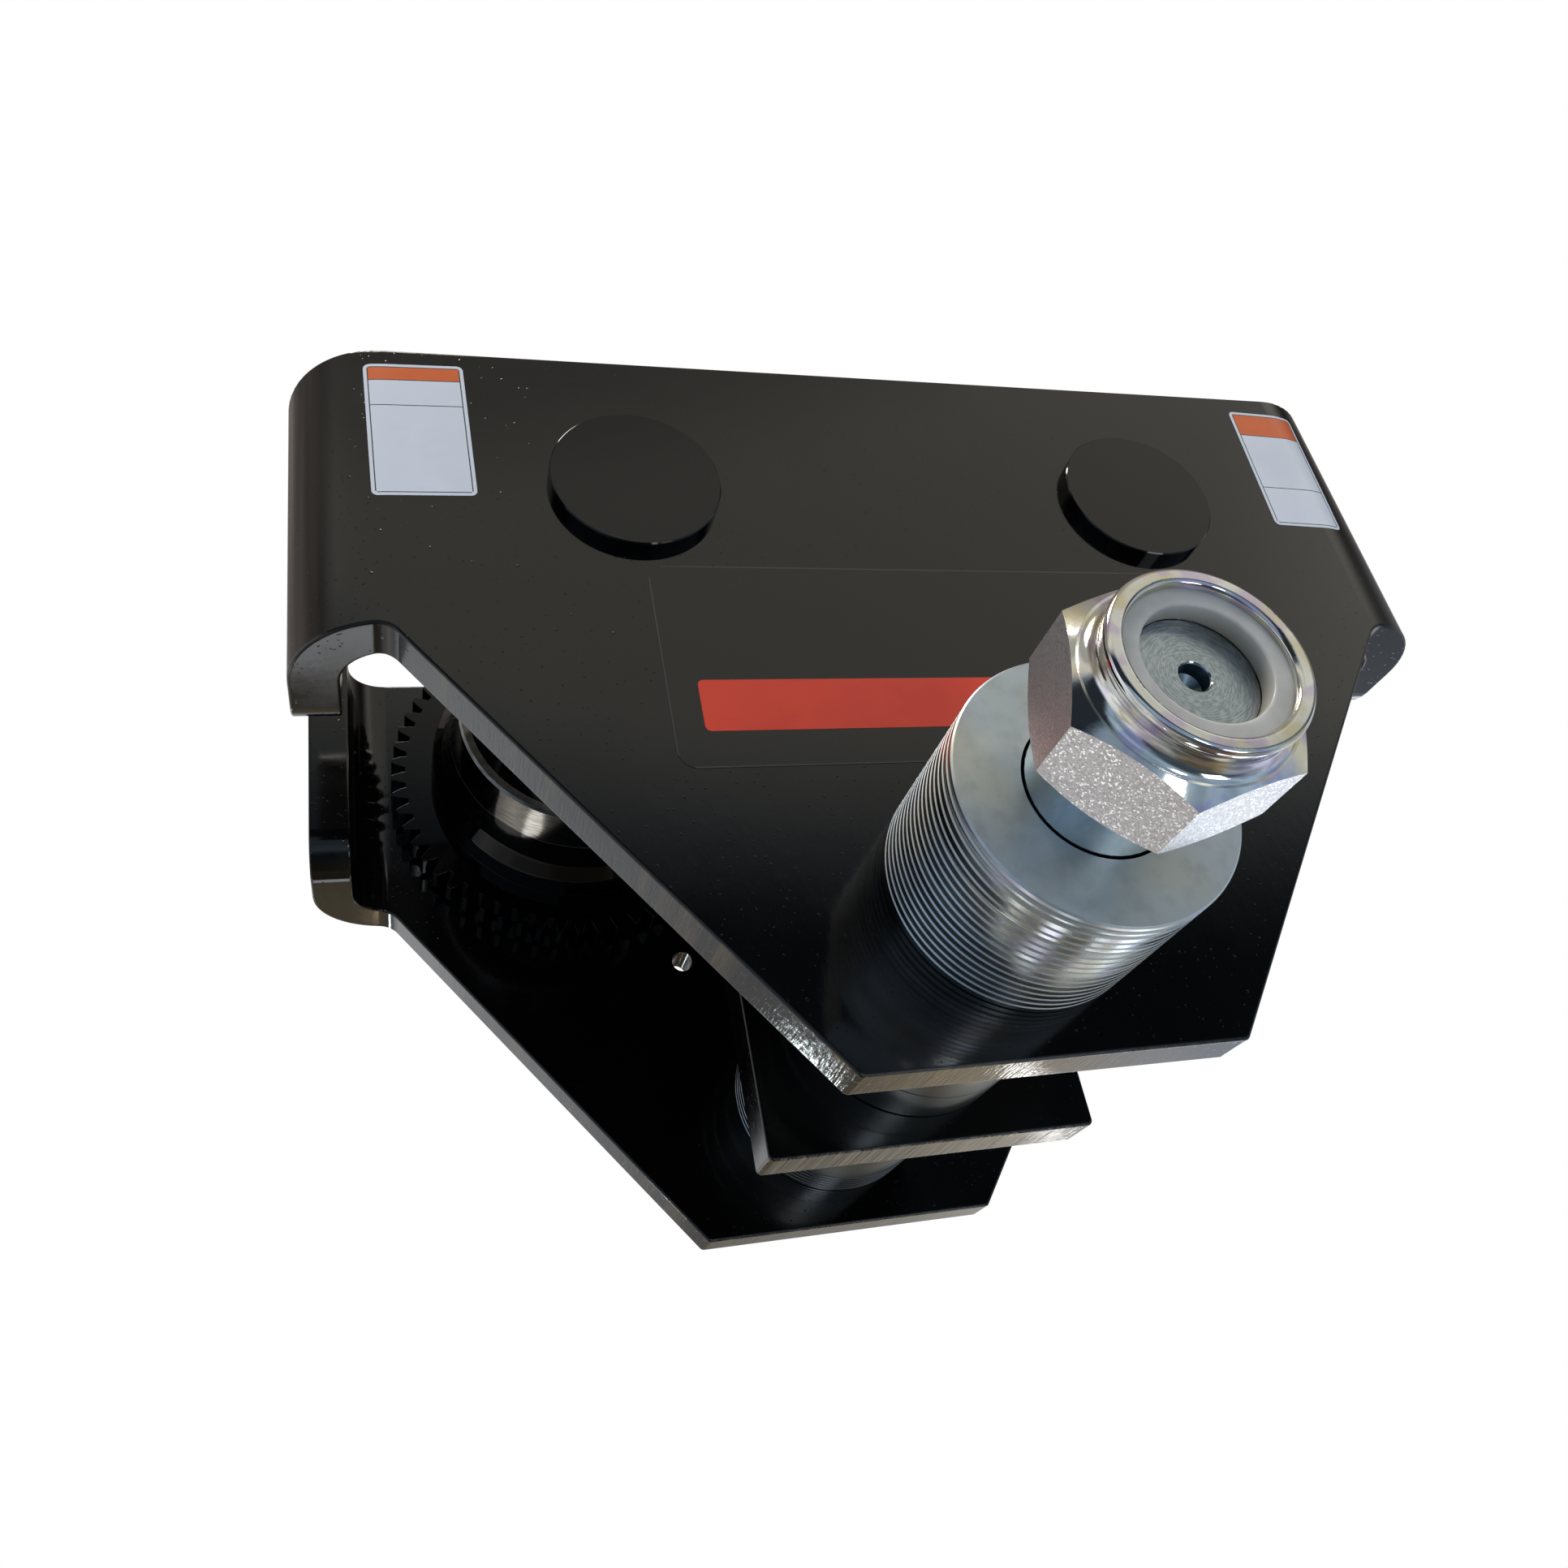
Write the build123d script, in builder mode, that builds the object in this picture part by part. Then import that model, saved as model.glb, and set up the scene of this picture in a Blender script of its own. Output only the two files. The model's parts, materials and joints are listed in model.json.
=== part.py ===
"""Manual beam trolley: two bent side plates on one shaft, four wheels and a hanger plate.

Sizes are in millimetres. X runs along the beam, Y across it with the front plate at -Y,
and Z is up. The origin lies on the ground, under the middle of the trolley.
"""

import os
from math import acos, cos, pi, radians, sin, tan

from build123d import *

# Side plates: flat in the middle, with both ends bent inward as bumpers
plate_thickness = 15.0
foot_width = 114.0
plate_above_axle = 55.4
bumper_clearance = 16.0  # from the tip of the teeth to the bumper's inner face
bumper_lift = 0.4  # bumper's lower edge above the track
bumper_depth = 58.0  # from the plate's outer face to the bumper's free edge
bumper_shoulder = 29.0  # level part of the lower edge beside each bumper
bumper_corner_radius = 15.0
bend_inner_radius = 15.0
shoulder_fillet = 9.0
foot_corner_radius = 2.0
plate_edge_round = 0.8

# Hanger shaft, its lock nuts and the washers that set the width
shaft_height = 51.0
shaft_diameter = 40.0
thread_diameter = 36.0
thread_in_insert = 1.5  # shaft's end past the start of the nylon
thread_chamfer = 2.6
centre_drill_diameter = 7.4
centre_drill_depth = 4.0
centre_drill_point = 2.1  # pointed bottom of the drilling
centre_drill_chamfer = 0.4
neck_length = 20.4  # bare shaft between the outer washers and the nut
washer_diameter = 77.0
washer_thickness = 3.0
washer_edge_chamfer = 0.5
spacer_thickness = 20.0
outer_washer_count = 18
inner_spacer_count = 3
inner_washer_count = 6

nut_across_flats = 55.0
nut_hex_height = 24.0
nut_turn = 16.0  # degrees from +X to the first corner of the hexagon
nut_edge_angle = 30.0  # slope of the turned chamfer on the hexagon's corners
nut_face_share = 0.97  # turned face's diameter over the size across flats
collar_foot_diameter = 52.0
collar_neck_diameter = 46.4
collar_rim_diameter = 48.8
collar_height = 10.0
collar_neck_rise = 4.0  # from the hexagon's top to the narrowest part of the collar
collar_wall = 1.7  # round the nylon ring, at the collar's neck
rim_round = 1.3
lip_thickness = 2.0
lip_opening = 40.0
lip_round = 1.3
insert_height = 7.0
insert_bore = 31.0  # of the nylon beyond the shaft's end
insert_edge_round = 0.6

# Hanger plate: stored swung up, with its eye above the shaft
hanger_thickness = 18.0
hanger_width = 114.0
hanger_ground_gap = 4.0
hanger_corner_radius = 2.0
hanger_edge_round = 0.8
eye_rise = 80.0  # from the shaft's axis to the eye's centre
eye_diameter = 50.0

# Wheels
wheel_base = 180.0
axle_rise = 145.4  # from the shaft's axis to the axles
wheel_gap = 3.0  # between the plate and the wheel
wheel_width = 58.0
guide_flange_diameter = 117.0
guide_flange_width = 22.0
guide_flange_slope = 6.0
guide_flange_round = 3.0
tread_diameter = 109.0  # beside the guide flange
tread_taper = 1 / 6  # fall of the tread's radius over its length
wheel_edge_chamfer = 1.0
bearing_inset = 3.0
rib_width = 15.0
rib_diameter = 64.0

# Teeth round the rear wheels
gear_module = 2.5
gear_teeth = 58
gear_face_width = 11.0
pressure_angle = 20.0

# Axles and sealed bearings
axle_shank_diameter = 40.0
axle_head_diameter = 54.6
axle_head_height = 4.2
head_chamfer = 0.4
axle_tail = 3.4  # axle beyond its circlip groove
axle_end_chamfer = 1.0
bearing_bore = 35.0
bearing_diameter = 72.0
bearing_width = 17.0
inner_ring_wall = 6.0
axle_spacer_wall = 4.5
axle_circlip_thickness = 1.5
axle_circlip_wall = 4.0
axle_groove_depth = 1.1
wheel_circlip_thickness = 2.5
wheel_circlip_wall = 4.5
wheel_groove_depth = 1.75
circlip_opening = 9.0

# Tapped holes in the rear plate for a hand-drive bracket
drive_hole_spacing = 102.0
drive_hole_diameter = 8.5
drive_hole_below_axle = 84.4

# Clearances
side_gap = 0.3  # between faces that move past each other
running_fit = 0.1  # on the radius, where a piece turns or slides on the shaft
seat_fit = 0.02  # on the radius, where a piece is fixed on or in another
washer_fit = 0.5  # on the radius, washers on the shaft
stack_gap = 0.05  # between neighbours in a stack
groove_play = 0.1  # circlip along its groove
seal_gap = 0.3  # on the radius, bearing seal round the inner ring

# How closely an edge's length or place is met when edges are picked
edge_match = 0.1

# Places worked out from the sizes above
inner_stack = inner_spacer_count * spacer_thickness + inner_washer_count * washer_thickness
stack_start = hanger_thickness / 2 + side_gap
inner_face = stack_start + inner_stack + side_gap
outer_face = inner_face + plate_thickness
outer_stack = outer_washer_count * washer_thickness
nut_seat = outer_face + outer_stack + neck_length
nut_height = nut_hex_height + collar_height
insert_end = nut_height - lip_thickness
insert_start = insert_end - insert_height
insert_diameter = collar_neck_diameter - 2 * collar_wall
thread_length = insert_start + thread_in_insert
shaft_end = nut_seat + thread_length
axle_height = shaft_height + axle_rise
plate_height = axle_height + plate_above_axle
gear_pitch_radius = gear_module * gear_teeth / 2
gear_tip_radius = gear_pitch_radius + gear_module
gear_root_radius = gear_pitch_radius - 1.25 * gear_module
plate_length = wheel_base + 2 * (gear_tip_radius + bumper_clearance + plate_thickness)
bumper_bottom = axle_height - tread_diameter / 2 + bumper_lift
washer_bore = shaft_diameter + 2 * washer_fit
inner_ring_diameter = bearing_bore + 2 * inner_ring_wall

# Distances from a plate's inner face towards the middle of the trolley
wheel_end = wheel_gap + wheel_width
first_bearing = wheel_gap + bearing_inset
rib_start = first_bearing + bearing_width
second_bearing = rib_start + rib_width
bearing_end = second_bearing + bearing_width
axle_groove_end = bearing_end + axle_circlip_thickness + groove_play
wheel_groove_end = bearing_end + wheel_circlip_thickness + groove_play
axle_end = axle_groove_end + axle_tail

SIDES = {"front": -1, "rear": 1}
ENDS = {"left": -wheel_base / 2, "right": wheel_base / 2}


def save(part, name):
    """Label a finished piece and write it out under its own name."""
    part.label = name
    export_step(part, f"parts/{name}.step")


def facing(x, y, z, towards):
    """Plane across the trolley at y, facing +Y (1) or -Y (-1), with its x axis along the beam."""
    return Plane(origin=(x, y, z), x_dir=(1, 0, 0), z_dir=(0, towards, 0))


def section(x, side, z, start):
    """Plane for half the section of a turned piece: radius along X, length inward from start."""
    return Plane(origin=(x, side * start, z), x_dir=(1, 0, 0), z_dir=(0, 0, -side))


def turning_axis(x, z):
    """Axis across the trolley, through the middle of a wheel or of the shaft."""
    return Axis((x, 0, z), (0, 1, 0))


def polar(radius, angle):
    """Point at a radius and an angle in radians."""
    return (radius * cos(angle), radius * sin(angle))


def side_plate(side):
    """Bent plate with the shaft hole, two axle holes and, at the rear, the drive holes."""
    half_length = plate_length / 2
    shoulder = half_length - bumper_shoulder
    bumper_edge = side * (outer_face - bumper_depth)
    bumper_inside = half_length - plate_thickness
    with BuildPart() as plate:
        # The bent strip seen from above, drawn up to the plate's height
        with BuildSketch(Plane.XY):
            with BuildLine():
                FilletPolyline(
                    (-half_length, bumper_edge),
                    (-half_length, side * outer_face),
                    (half_length, side * outer_face),
                    (half_length, bumper_edge),
                    radius=bend_inner_radius + plate_thickness,
                )
                Line((half_length, bumper_edge), (bumper_inside, bumper_edge))
                FilletPolyline(
                    (bumper_inside, bumper_edge),
                    (bumper_inside, side * inner_face),
                    (-bumper_inside, side * inner_face),
                    (-bumper_inside, bumper_edge),
                    radius=bend_inner_radius,
                )
                Line((-bumper_inside, bumper_edge), (-half_length, bumper_edge))
            make_face()
        extrude(amount=plate_height)
        # Outline seen along Y: a narrow foot, slanted flanks and level shoulders
        with BuildSketch(Plane.XZ) as outline:
            with BuildLine():
                Polyline(
                    (-foot_width / 2, 0),
                    (-shoulder, bumper_bottom),
                    (-half_length, bumper_bottom),
                    (-half_length, plate_height),
                    (half_length, plate_height),
                    (half_length, bumper_bottom),
                    (shoulder, bumper_bottom),
                    (foot_width / 2, 0),
                    close=True,
                )
            make_face()
            feet = outline.vertices().group_by(Axis.Y)[0]
            fillet(feet, foot_corner_radius)
            shoulders = outline.vertices().filter_by(lambda v: abs(abs(v.X) - shoulder) < shoulder_fillet / 2)
            fillet(shoulders, shoulder_fillet)
        extrude(amount=outer_face, both=True, mode=Mode.INTERSECT)
        # Rounded free corners of the bumpers
        free_corners = (
            plate.edges().filter_by(Axis.X).group_by(Axis.Y)[0 if side > 0 else -1]
        )
        fillet(free_corners, bumper_corner_radius)
        # Broken edges all round, apart from the lines where flat and round faces run together
        across = plate.edges().filter_by(lambda e: abs(e.length - plate_thickness) < edge_match)
        flush = across.filter_by(Axis.X) + across.filter_by(Axis.Y)
        bends = plate.edges().filter_by(Axis.Z).filter_by(
            lambda e: abs(e.center().Y - bumper_edge) > edge_match
        )
        sharp = plate.edges() - flush - bends
        fillet(sharp, plate_edge_round)
        with BuildSketch(Plane.XZ):
            with Locations((0, shaft_height)):
                Circle(shaft_diameter / 2 + running_fit)
            with Locations(*[(x, axle_height) for x in ENDS.values()]):
                Circle(axle_shank_diameter / 2 + seat_fit)
            if side > 0:
                with Locations((0, axle_height - drive_hole_below_axle)):
                    with GridLocations(drive_hole_spacing, 0, 2, 1):
                        Circle(drive_hole_diameter / 2)
        extrude(amount=-side * outer_face, mode=Mode.SUBTRACT)
    return plate.part


def hanger_shaft():
    """Shaft with a shoulder for each nut, threaded ends and centre-drilled end faces."""
    radius = shaft_diameter / 2
    thread_radius = thread_diameter / 2
    drill_radius = centre_drill_diameter / 2
    drill_bottom = shaft_end - centre_drill_depth
    half = [
        (0, drill_bottom - centre_drill_point),
        (drill_radius, drill_bottom),
        (drill_radius, shaft_end - centre_drill_chamfer),
        (drill_radius + centre_drill_chamfer, shaft_end),
        (thread_radius - thread_chamfer, shaft_end),
        (thread_radius, shaft_end - thread_chamfer),
        (thread_radius, nut_seat),
        (radius, nut_seat),
    ]
    other_half = [(r, -y) for r, y in reversed(half)]
    with BuildPart() as shaft:
        with BuildSketch(Plane(origin=(0, 0, shaft_height), z_dir=(0, 0, 1))):
            with BuildLine():
                Polyline(*half, *other_half, close=True)
            make_face()
        revolve(axis=turning_axis(0, shaft_height))
    return shaft.part


def lock_nut(side):
    """Hexagon nut with turned corners and a rolled collar that holds a nylon ring."""
    corner = nut_across_flats / 2 / cos(pi / 6)
    face_radius = nut_across_flats / 2 * nut_face_share
    chamfer_height = (corner - face_radius) * tan(radians(nut_edge_angle))
    foot = (collar_foot_diameter / 2, nut_hex_height)
    neck = (collar_neck_diameter / 2, nut_hex_height + collar_neck_rise)
    rim = (collar_rim_diameter / 2, nut_height - rim_round)
    rim_top = (collar_rim_diameter / 2 - rim_round, nut_height)
    lip_top = (lip_opening / 2 + lip_round, nut_height)
    lip_side = (lip_opening / 2, nut_height - lip_round)
    pocket_radius = insert_diameter / 2
    thread_radius = thread_diameter / 2 + seat_fit
    upward = (0, 1)
    with BuildPart() as nut:
        with BuildSketch(facing(0, side * nut_seat, shaft_height, side)):
            RegularPolygon(nut_across_flats / 2, 6, major_radius=False, rotation=-side * nut_turn)
        extrude(amount=nut_hex_height)
        with BuildSketch(section(0, -side, shaft_height, -nut_seat)):
            with BuildLine():
                Polyline(
                    (0, 0),
                    (face_radius, 0),
                    (corner, chamfer_height),
                    (corner, nut_hex_height - chamfer_height),
                    (face_radius, nut_hex_height),
                    (0, nut_hex_height),
                    close=True,
                )
            make_face()
        revolve(axis=turning_axis(0, shaft_height), mode=Mode.INTERSECT)
        # Threaded hole, then the collar with its narrow neck, rolled rim and inner lip
        with BuildSketch(section(0, -side, shaft_height, -nut_seat)):
            Rectangle(thread_radius, nut_hex_height, align=Align.MIN)
        revolve(axis=turning_axis(0, shaft_height), mode=Mode.SUBTRACT)
        with BuildSketch(section(0, -side, shaft_height, -nut_seat)):
            with BuildLine():
                TangentArc(neck, foot, tangent=(0, -1))
                Spline(neck, rim, tangents=(upward, upward))
                TangentArc(rim, rim_top, tangent=upward)
                Line(rim_top, lip_top)
                TangentArc(lip_side, lip_top, tangent=upward)
                Polyline(
                    lip_side,
                    (lip_opening / 2, insert_end),
                    (pocket_radius, insert_end),
                    (pocket_radius, insert_start),
                    (thread_radius, insert_start),
                    (thread_radius, nut_hex_height),
                    foot,
                )
            make_face()
        revolve(axis=turning_axis(0, shaft_height))
    return nut.part


def nylon_insert(side):
    """Ring of nylon in the nut's collar: it grips the thread and closes in beyond the shaft."""
    outer_radius = insert_diameter / 2 - seat_fit
    thread_radius = thread_diameter / 2 + seat_fit
    bore_radius = insert_bore / 2
    step = thread_length + side_gap
    start = insert_start + stack_gap
    end = insert_end - stack_gap
    edge_top = (bore_radius + insert_edge_round, end)
    edge_side = (bore_radius, end - insert_edge_round)
    with BuildPart() as insert:
        with BuildSketch(section(0, -side, shaft_height, -nut_seat)):
            with BuildLine():
                TangentArc(edge_top, edge_side, tangent=(-1, 0))
                Polyline(
                    edge_side,
                    (bore_radius, step),
                    (thread_radius, step),
                    (thread_radius, start),
                    (outer_radius, start),
                    (outer_radius, end),
                    edge_top,
                )
            make_face()
        revolve(axis=turning_axis(0, shaft_height))
    return insert.part


def washer_stack(side, start, count, pitch):
    """Separate washers or spacers on the shaft, the first one nearest to the middle."""
    radius = washer_diameter / 2
    chamfer_radius = radius - washer_edge_chamfer
    thickness = pitch - stack_gap
    with BuildPart() as stack:
        for index in range(count):
            with BuildSketch(section(0, -side, shaft_height, -(start + index * pitch))):
                with BuildLine():
                    Polyline(
                        (washer_bore / 2, 0),
                        (chamfer_radius, 0),
                        (radius, washer_edge_chamfer),
                        (radius, thickness - washer_edge_chamfer),
                        (chamfer_radius, thickness),
                        (washer_bore / 2, thickness),
                        close=True,
                    )
                make_face()
            revolve(axis=turning_axis(0, shaft_height))
    return stack.part


def hanger_plate():
    """Thick plate that turns on the shaft and carries the load in its eye."""
    half_width = hanger_width / 2
    eye_height = shaft_height + eye_rise
    with BuildPart() as hanger:
        with BuildSketch(Plane.XZ) as outline:
            with BuildLine():
                Polyline(
                    (-half_width, eye_height),
                    (-half_width, hanger_ground_gap),
                    (half_width, hanger_ground_gap),
                    (half_width, eye_height),
                )
                RadiusArc((half_width, eye_height), (-half_width, eye_height), -half_width)
            make_face()
            fillet(outline.vertices().group_by(Axis.Y)[0], hanger_corner_radius)
            with Locations((0, shaft_height)):
                Circle(shaft_diameter / 2 + running_fit, mode=Mode.SUBTRACT)
            with Locations((0, eye_height)):
                Circle(eye_diameter / 2, mode=Mode.SUBTRACT)
        extrude(amount=hanger_thickness / 2, both=True)
        rim = hanger.faces().filter_by(Axis.Y).edges().filter_by(
            lambda e: e.geom_type != GeomType.CIRCLE or e.radius != shaft_diameter / 2 + running_fit
        )
        fillet(rim, hanger_edge_round)
    return hanger.part


def half_tooth_angle(radius):
    """Half the angle that an involute tooth fills at a radius."""
    base_radius = gear_pitch_radius * cos(radians(pressure_angle))
    pressure = acos(base_radius / radius)
    at_pitch = tan(radians(pressure_angle)) - radians(pressure_angle)
    return pi / (2 * gear_teeth) + at_pitch - (tan(pressure) - pressure)


def wheel(x, side, geared):
    """Wheel with a tapered tread, a guide flange, bearing seats and, where geared, teeth."""
    bore_radius = bearing_diameter / 2
    rib_radius = rib_diameter / 2
    groove_radius = bore_radius + wheel_groove_depth
    flange_radius = guide_flange_diameter / 2
    flange_end = wheel_gap + guide_flange_width
    tread_start = flange_end + guide_flange_slope
    tread_stop = wheel_end - wheel_edge_chamfer
    tread_end_radius = tread_diameter / 2 - tread_taper * (tread_stop - tread_start)
    with BuildPart() as part:
        with BuildSketch(section(x, side, axle_height, inner_face)):
            with BuildLine():
                FilletPolyline(
                    (flange_radius, wheel_gap),
                    (flange_radius, flange_end),
                    (tread_diameter / 2, tread_start),
                    (tread_end_radius, tread_stop),
                    radius=guide_flange_round,
                )
                Polyline(
                    (tread_end_radius, tread_stop),
                    (tread_end_radius - wheel_edge_chamfer, wheel_end),
                    (bore_radius, wheel_end),
                    (bore_radius, wheel_groove_end),
                    (groove_radius, wheel_groove_end),
                    (groove_radius, bearing_end),
                    (bore_radius, bearing_end),
                    (bore_radius, second_bearing),
                    (rib_radius, second_bearing),
                    (rib_radius, rib_start),
                    (bore_radius, rib_start),
                    (bore_radius, wheel_gap),
                    (flange_radius, wheel_gap),
                )
            make_face()
        revolve(axis=turning_axis(x, axle_height))
        if geared:
            tip, pitch, root = gear_tip_radius, gear_pitch_radius, gear_root_radius
            with BuildSketch(facing(x, side * (inner_face - wheel_gap), axle_height, -side)):
                with BuildLine():
                    for tooth in range(gear_teeth):
                        middle = 2 * pi * tooth / gear_teeth
                        following = 2 * pi * (tooth + 1) / gear_teeth
                        rising = [polar(r, middle - half_tooth_angle(r)) for r in (root, pitch, tip)]
                        falling = [polar(r, middle + half_tooth_angle(r)) for r in (tip, pitch, root)]
                        ThreePointArc(*rising)
                        Line(rising[-1], falling[0])
                        ThreePointArc(*falling)
                        Line(falling[-1], polar(root, following - half_tooth_angle(root)))
                make_face()
                Circle(flange_radius - guide_flange_round, mode=Mode.SUBTRACT)
            extrude(amount=gear_face_width)
    return part.part


def axle(x, side):
    """Headed axle through the plate, stepped down for the bearings and grooved at its end."""
    shank_radius = axle_shank_diameter / 2
    head_radius = axle_head_diameter / 2
    seat_radius = bearing_bore / 2
    head_start = -plate_thickness - axle_head_height
    with BuildPart() as part:
        with BuildSketch(section(x, side, axle_height, inner_face)):
            with BuildLine():
                Polyline(
                    (0, head_start),
                    (head_radius - head_chamfer, head_start),
                    (head_radius, head_start + head_chamfer),
                    (head_radius, -plate_thickness),
                    (shank_radius, -plate_thickness),
                    (shank_radius, 0),
                    (seat_radius, 0),
                    (seat_radius, bearing_end),
                    (seat_radius - axle_groove_depth, bearing_end),
                    (seat_radius - axle_groove_depth, axle_groove_end),
                    (seat_radius, axle_groove_end),
                    (seat_radius, axle_end - axle_end_chamfer),
                    (seat_radius - axle_end_chamfer, axle_end),
                    (0, axle_end),
                    close=True,
                )
            make_face()
        revolve(axis=turning_axis(x, axle_height))
    return part.part


def rings(x, side, starts, length, outer_diameter, inner_diameter):
    """Plain rings round an axle, each starting at a distance inward of the plate."""
    with BuildPart() as part:
        for start in starts:
            with BuildSketch(facing(x, side * (inner_face - start), axle_height, -side)):
                Circle(outer_diameter / 2)
                Circle(inner_diameter / 2, mode=Mode.SUBTRACT)
            extrude(amount=length)
    return part.part


def circlip(x, side, thickness, outer_diameter, inner_diameter):
    """Open ring behind the second bearing, with its opening downward."""
    mean_radius = (outer_diameter + inner_diameter) / 4
    with BuildPart() as part:
        with BuildSketch(facing(x, side * (inner_face - bearing_end - groove_play / 2), axle_height, -side)):
            Circle(outer_diameter / 2)
            Circle(inner_diameter / 2, mode=Mode.SUBTRACT)
            with Locations((0, side * mean_radius)):
                Rectangle(circlip_opening, mean_radius, mode=Mode.SUBTRACT)
        extrude(amount=thickness)
    return part.part


def wheel_set(corner, x, side):
    """Save one wheel with its axle, its two sealed bearings and what holds them."""
    bearing_starts = (first_bearing, second_bearing)
    spacer_diameter = bearing_bore + 2 * axle_spacer_wall
    groove_bottom = bearing_bore - 2 * axle_groove_depth
    wheel_groove = bearing_diameter + 2 * wheel_groove_depth
    save(wheel(x, side, geared=side > 0), f"{corner}_wheel")
    save(axle(x, side), f"{corner}_axle")
    save(
        rings(x, side, (0,), first_bearing, spacer_diameter, bearing_bore + 2 * seat_fit),
        f"{corner}_axle_spacer",
    )
    save(
        rings(x, side, bearing_starts, bearing_width, inner_ring_diameter, bearing_bore + 2 * seat_fit),
        f"{corner}_bearing_inner_rings",
    )
    save(
        rings(
            x,
            side,
            bearing_starts,
            bearing_width,
            bearing_diameter - 2 * seat_fit,
            inner_ring_diameter + 2 * seal_gap,
        ),
        f"{corner}_bearing_outer_rings",
    )
    save(
        rings(x, side, (rib_start,), rib_width, spacer_diameter, bearing_bore + 2 * seat_fit),
        f"{corner}_bearing_sleeve",
    )
    save(
        circlip(
            x,
            side,
            axle_circlip_thickness,
            groove_bottom + 2 * axle_circlip_wall,
            groove_bottom + 2 * seat_fit,
        ),
        f"{corner}_axle_circlip",
    )
    save(
        circlip(
            x,
            side,
            wheel_circlip_thickness,
            wheel_groove - 2 * seat_fit,
            wheel_groove - 2 * wheel_circlip_wall,
        ),
        f"{corner}_wheel_circlip",
    )


def trolley():
    """Save every piece of the trolley."""
    save(hanger_shaft(), "hanger_shaft")
    save(hanger_plate(), "hanger_plate")
    spacers_end = stack_start + inner_spacer_count * spacer_thickness
    for side_name, side in SIDES.items():
        save(side_plate(side), f"{side_name}_side_plate")
        save(lock_nut(side), f"{side_name}_lock_nut")
        save(nylon_insert(side), f"{side_name}_nylon_insert")
        save(
            washer_stack(side, outer_face, outer_washer_count, washer_thickness),
            f"{side_name}_outer_washers",
        )
        save(
            washer_stack(side, stack_start, inner_spacer_count, spacer_thickness),
            f"{side_name}_inner_spacers",
        )
        save(
            washer_stack(side, spacers_end, inner_washer_count, washer_thickness),
            f"{side_name}_inner_washers",
        )
        for end_name, x in ENDS.items():
            wheel_set(f"{side_name}_{end_name}", x, side)


if __name__ == "__main__":
    os.makedirs("parts", exist_ok=True)
    trolley()
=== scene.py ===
"""Looks of a manual beam trolley: finishes for its solids, films on its front plate, and a plain studio."""

import json
import logging
import math
from contextlib import contextmanager
from dataclasses import dataclass, field
from enum import Enum
from functools import partial
from typing import Any, Callable, Iterator

import bmesh
import bpy
from mathutils import Matrix, Vector


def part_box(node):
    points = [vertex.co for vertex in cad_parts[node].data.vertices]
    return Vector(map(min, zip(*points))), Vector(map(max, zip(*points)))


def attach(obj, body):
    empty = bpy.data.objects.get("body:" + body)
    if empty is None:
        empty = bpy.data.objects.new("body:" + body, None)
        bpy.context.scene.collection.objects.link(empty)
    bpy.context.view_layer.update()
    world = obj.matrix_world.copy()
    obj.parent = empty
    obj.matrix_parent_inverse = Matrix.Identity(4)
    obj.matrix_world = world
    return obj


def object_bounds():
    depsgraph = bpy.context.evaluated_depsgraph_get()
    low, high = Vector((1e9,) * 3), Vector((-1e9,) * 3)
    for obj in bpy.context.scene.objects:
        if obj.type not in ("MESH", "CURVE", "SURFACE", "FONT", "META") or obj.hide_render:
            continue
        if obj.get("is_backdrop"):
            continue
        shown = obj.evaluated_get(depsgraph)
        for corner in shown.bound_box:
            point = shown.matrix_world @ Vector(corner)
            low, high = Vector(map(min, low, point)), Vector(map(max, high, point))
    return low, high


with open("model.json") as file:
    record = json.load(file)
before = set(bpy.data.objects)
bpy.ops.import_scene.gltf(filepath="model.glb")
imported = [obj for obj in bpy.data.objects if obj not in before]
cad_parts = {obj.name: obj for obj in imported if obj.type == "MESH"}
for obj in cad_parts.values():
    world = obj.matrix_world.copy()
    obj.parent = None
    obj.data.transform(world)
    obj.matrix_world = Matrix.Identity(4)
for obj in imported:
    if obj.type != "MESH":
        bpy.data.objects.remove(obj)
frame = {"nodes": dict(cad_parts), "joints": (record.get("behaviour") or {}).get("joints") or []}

log = logging.getLogger("beam_trolley")

MM = 0.001
IMAGE_SIDE_PX = 1932
# Distance of the side plates' inner faces from the trolley's middle
PLATE_INNER_MM = 87.6

Node = bpy.types.Node
Span = tuple[float, float]
Adder = Callable[..., Node]
Wiring = tuple[Node, dict[str, Any]]


class Body(Enum):
    """Moving bodies of the trolley that new pieces ride on."""

    FRONT = "front_side"
    REAR = "rear_side"


class Slot(Enum):
    """Material slots of the record that new pieces take after."""

    PAINT = "black_paint"
    FILM = "vinyl_film"


class Kind(Enum):
    """Shader nodes that finishes and surround are wired from."""

    PLACE = "ShaderNodeTexCoord"
    SPLIT = "ShaderNodeSeparateXYZ"
    JOIN = "ShaderNodeCombineXYZ"
    MAPPING = "ShaderNodeMapping"
    VECTOR = "ShaderNodeVectorMath"
    NOISE = "ShaderNodeTexNoise"
    CHANCE = "ShaderNodeTexWhiteNoise"
    CELLS = "ShaderNodeTexVoronoi"
    MATHS = "ShaderNodeMath"
    RANGE = "ShaderNodeMapRange"
    MIX = "ShaderNodeMix"
    BUMP = "ShaderNodeBump"
    ROUND = "ShaderNodeBevel"
    SHADER = "ShaderNodeBsdfPrincipled"
    OUTPUT = "ShaderNodeOutputMaterial"
    MATT = "ShaderNodeBsdfDiffuse"
    CLEAR = "ShaderNodeBsdfTransparent"
    EITHER = "ShaderNodeMixShader"
    RAY = "ShaderNodeLightPath"
    GLOW = "ShaderNodeBackground"
    WORLD = "ShaderNodeOutputWorld"


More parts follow.
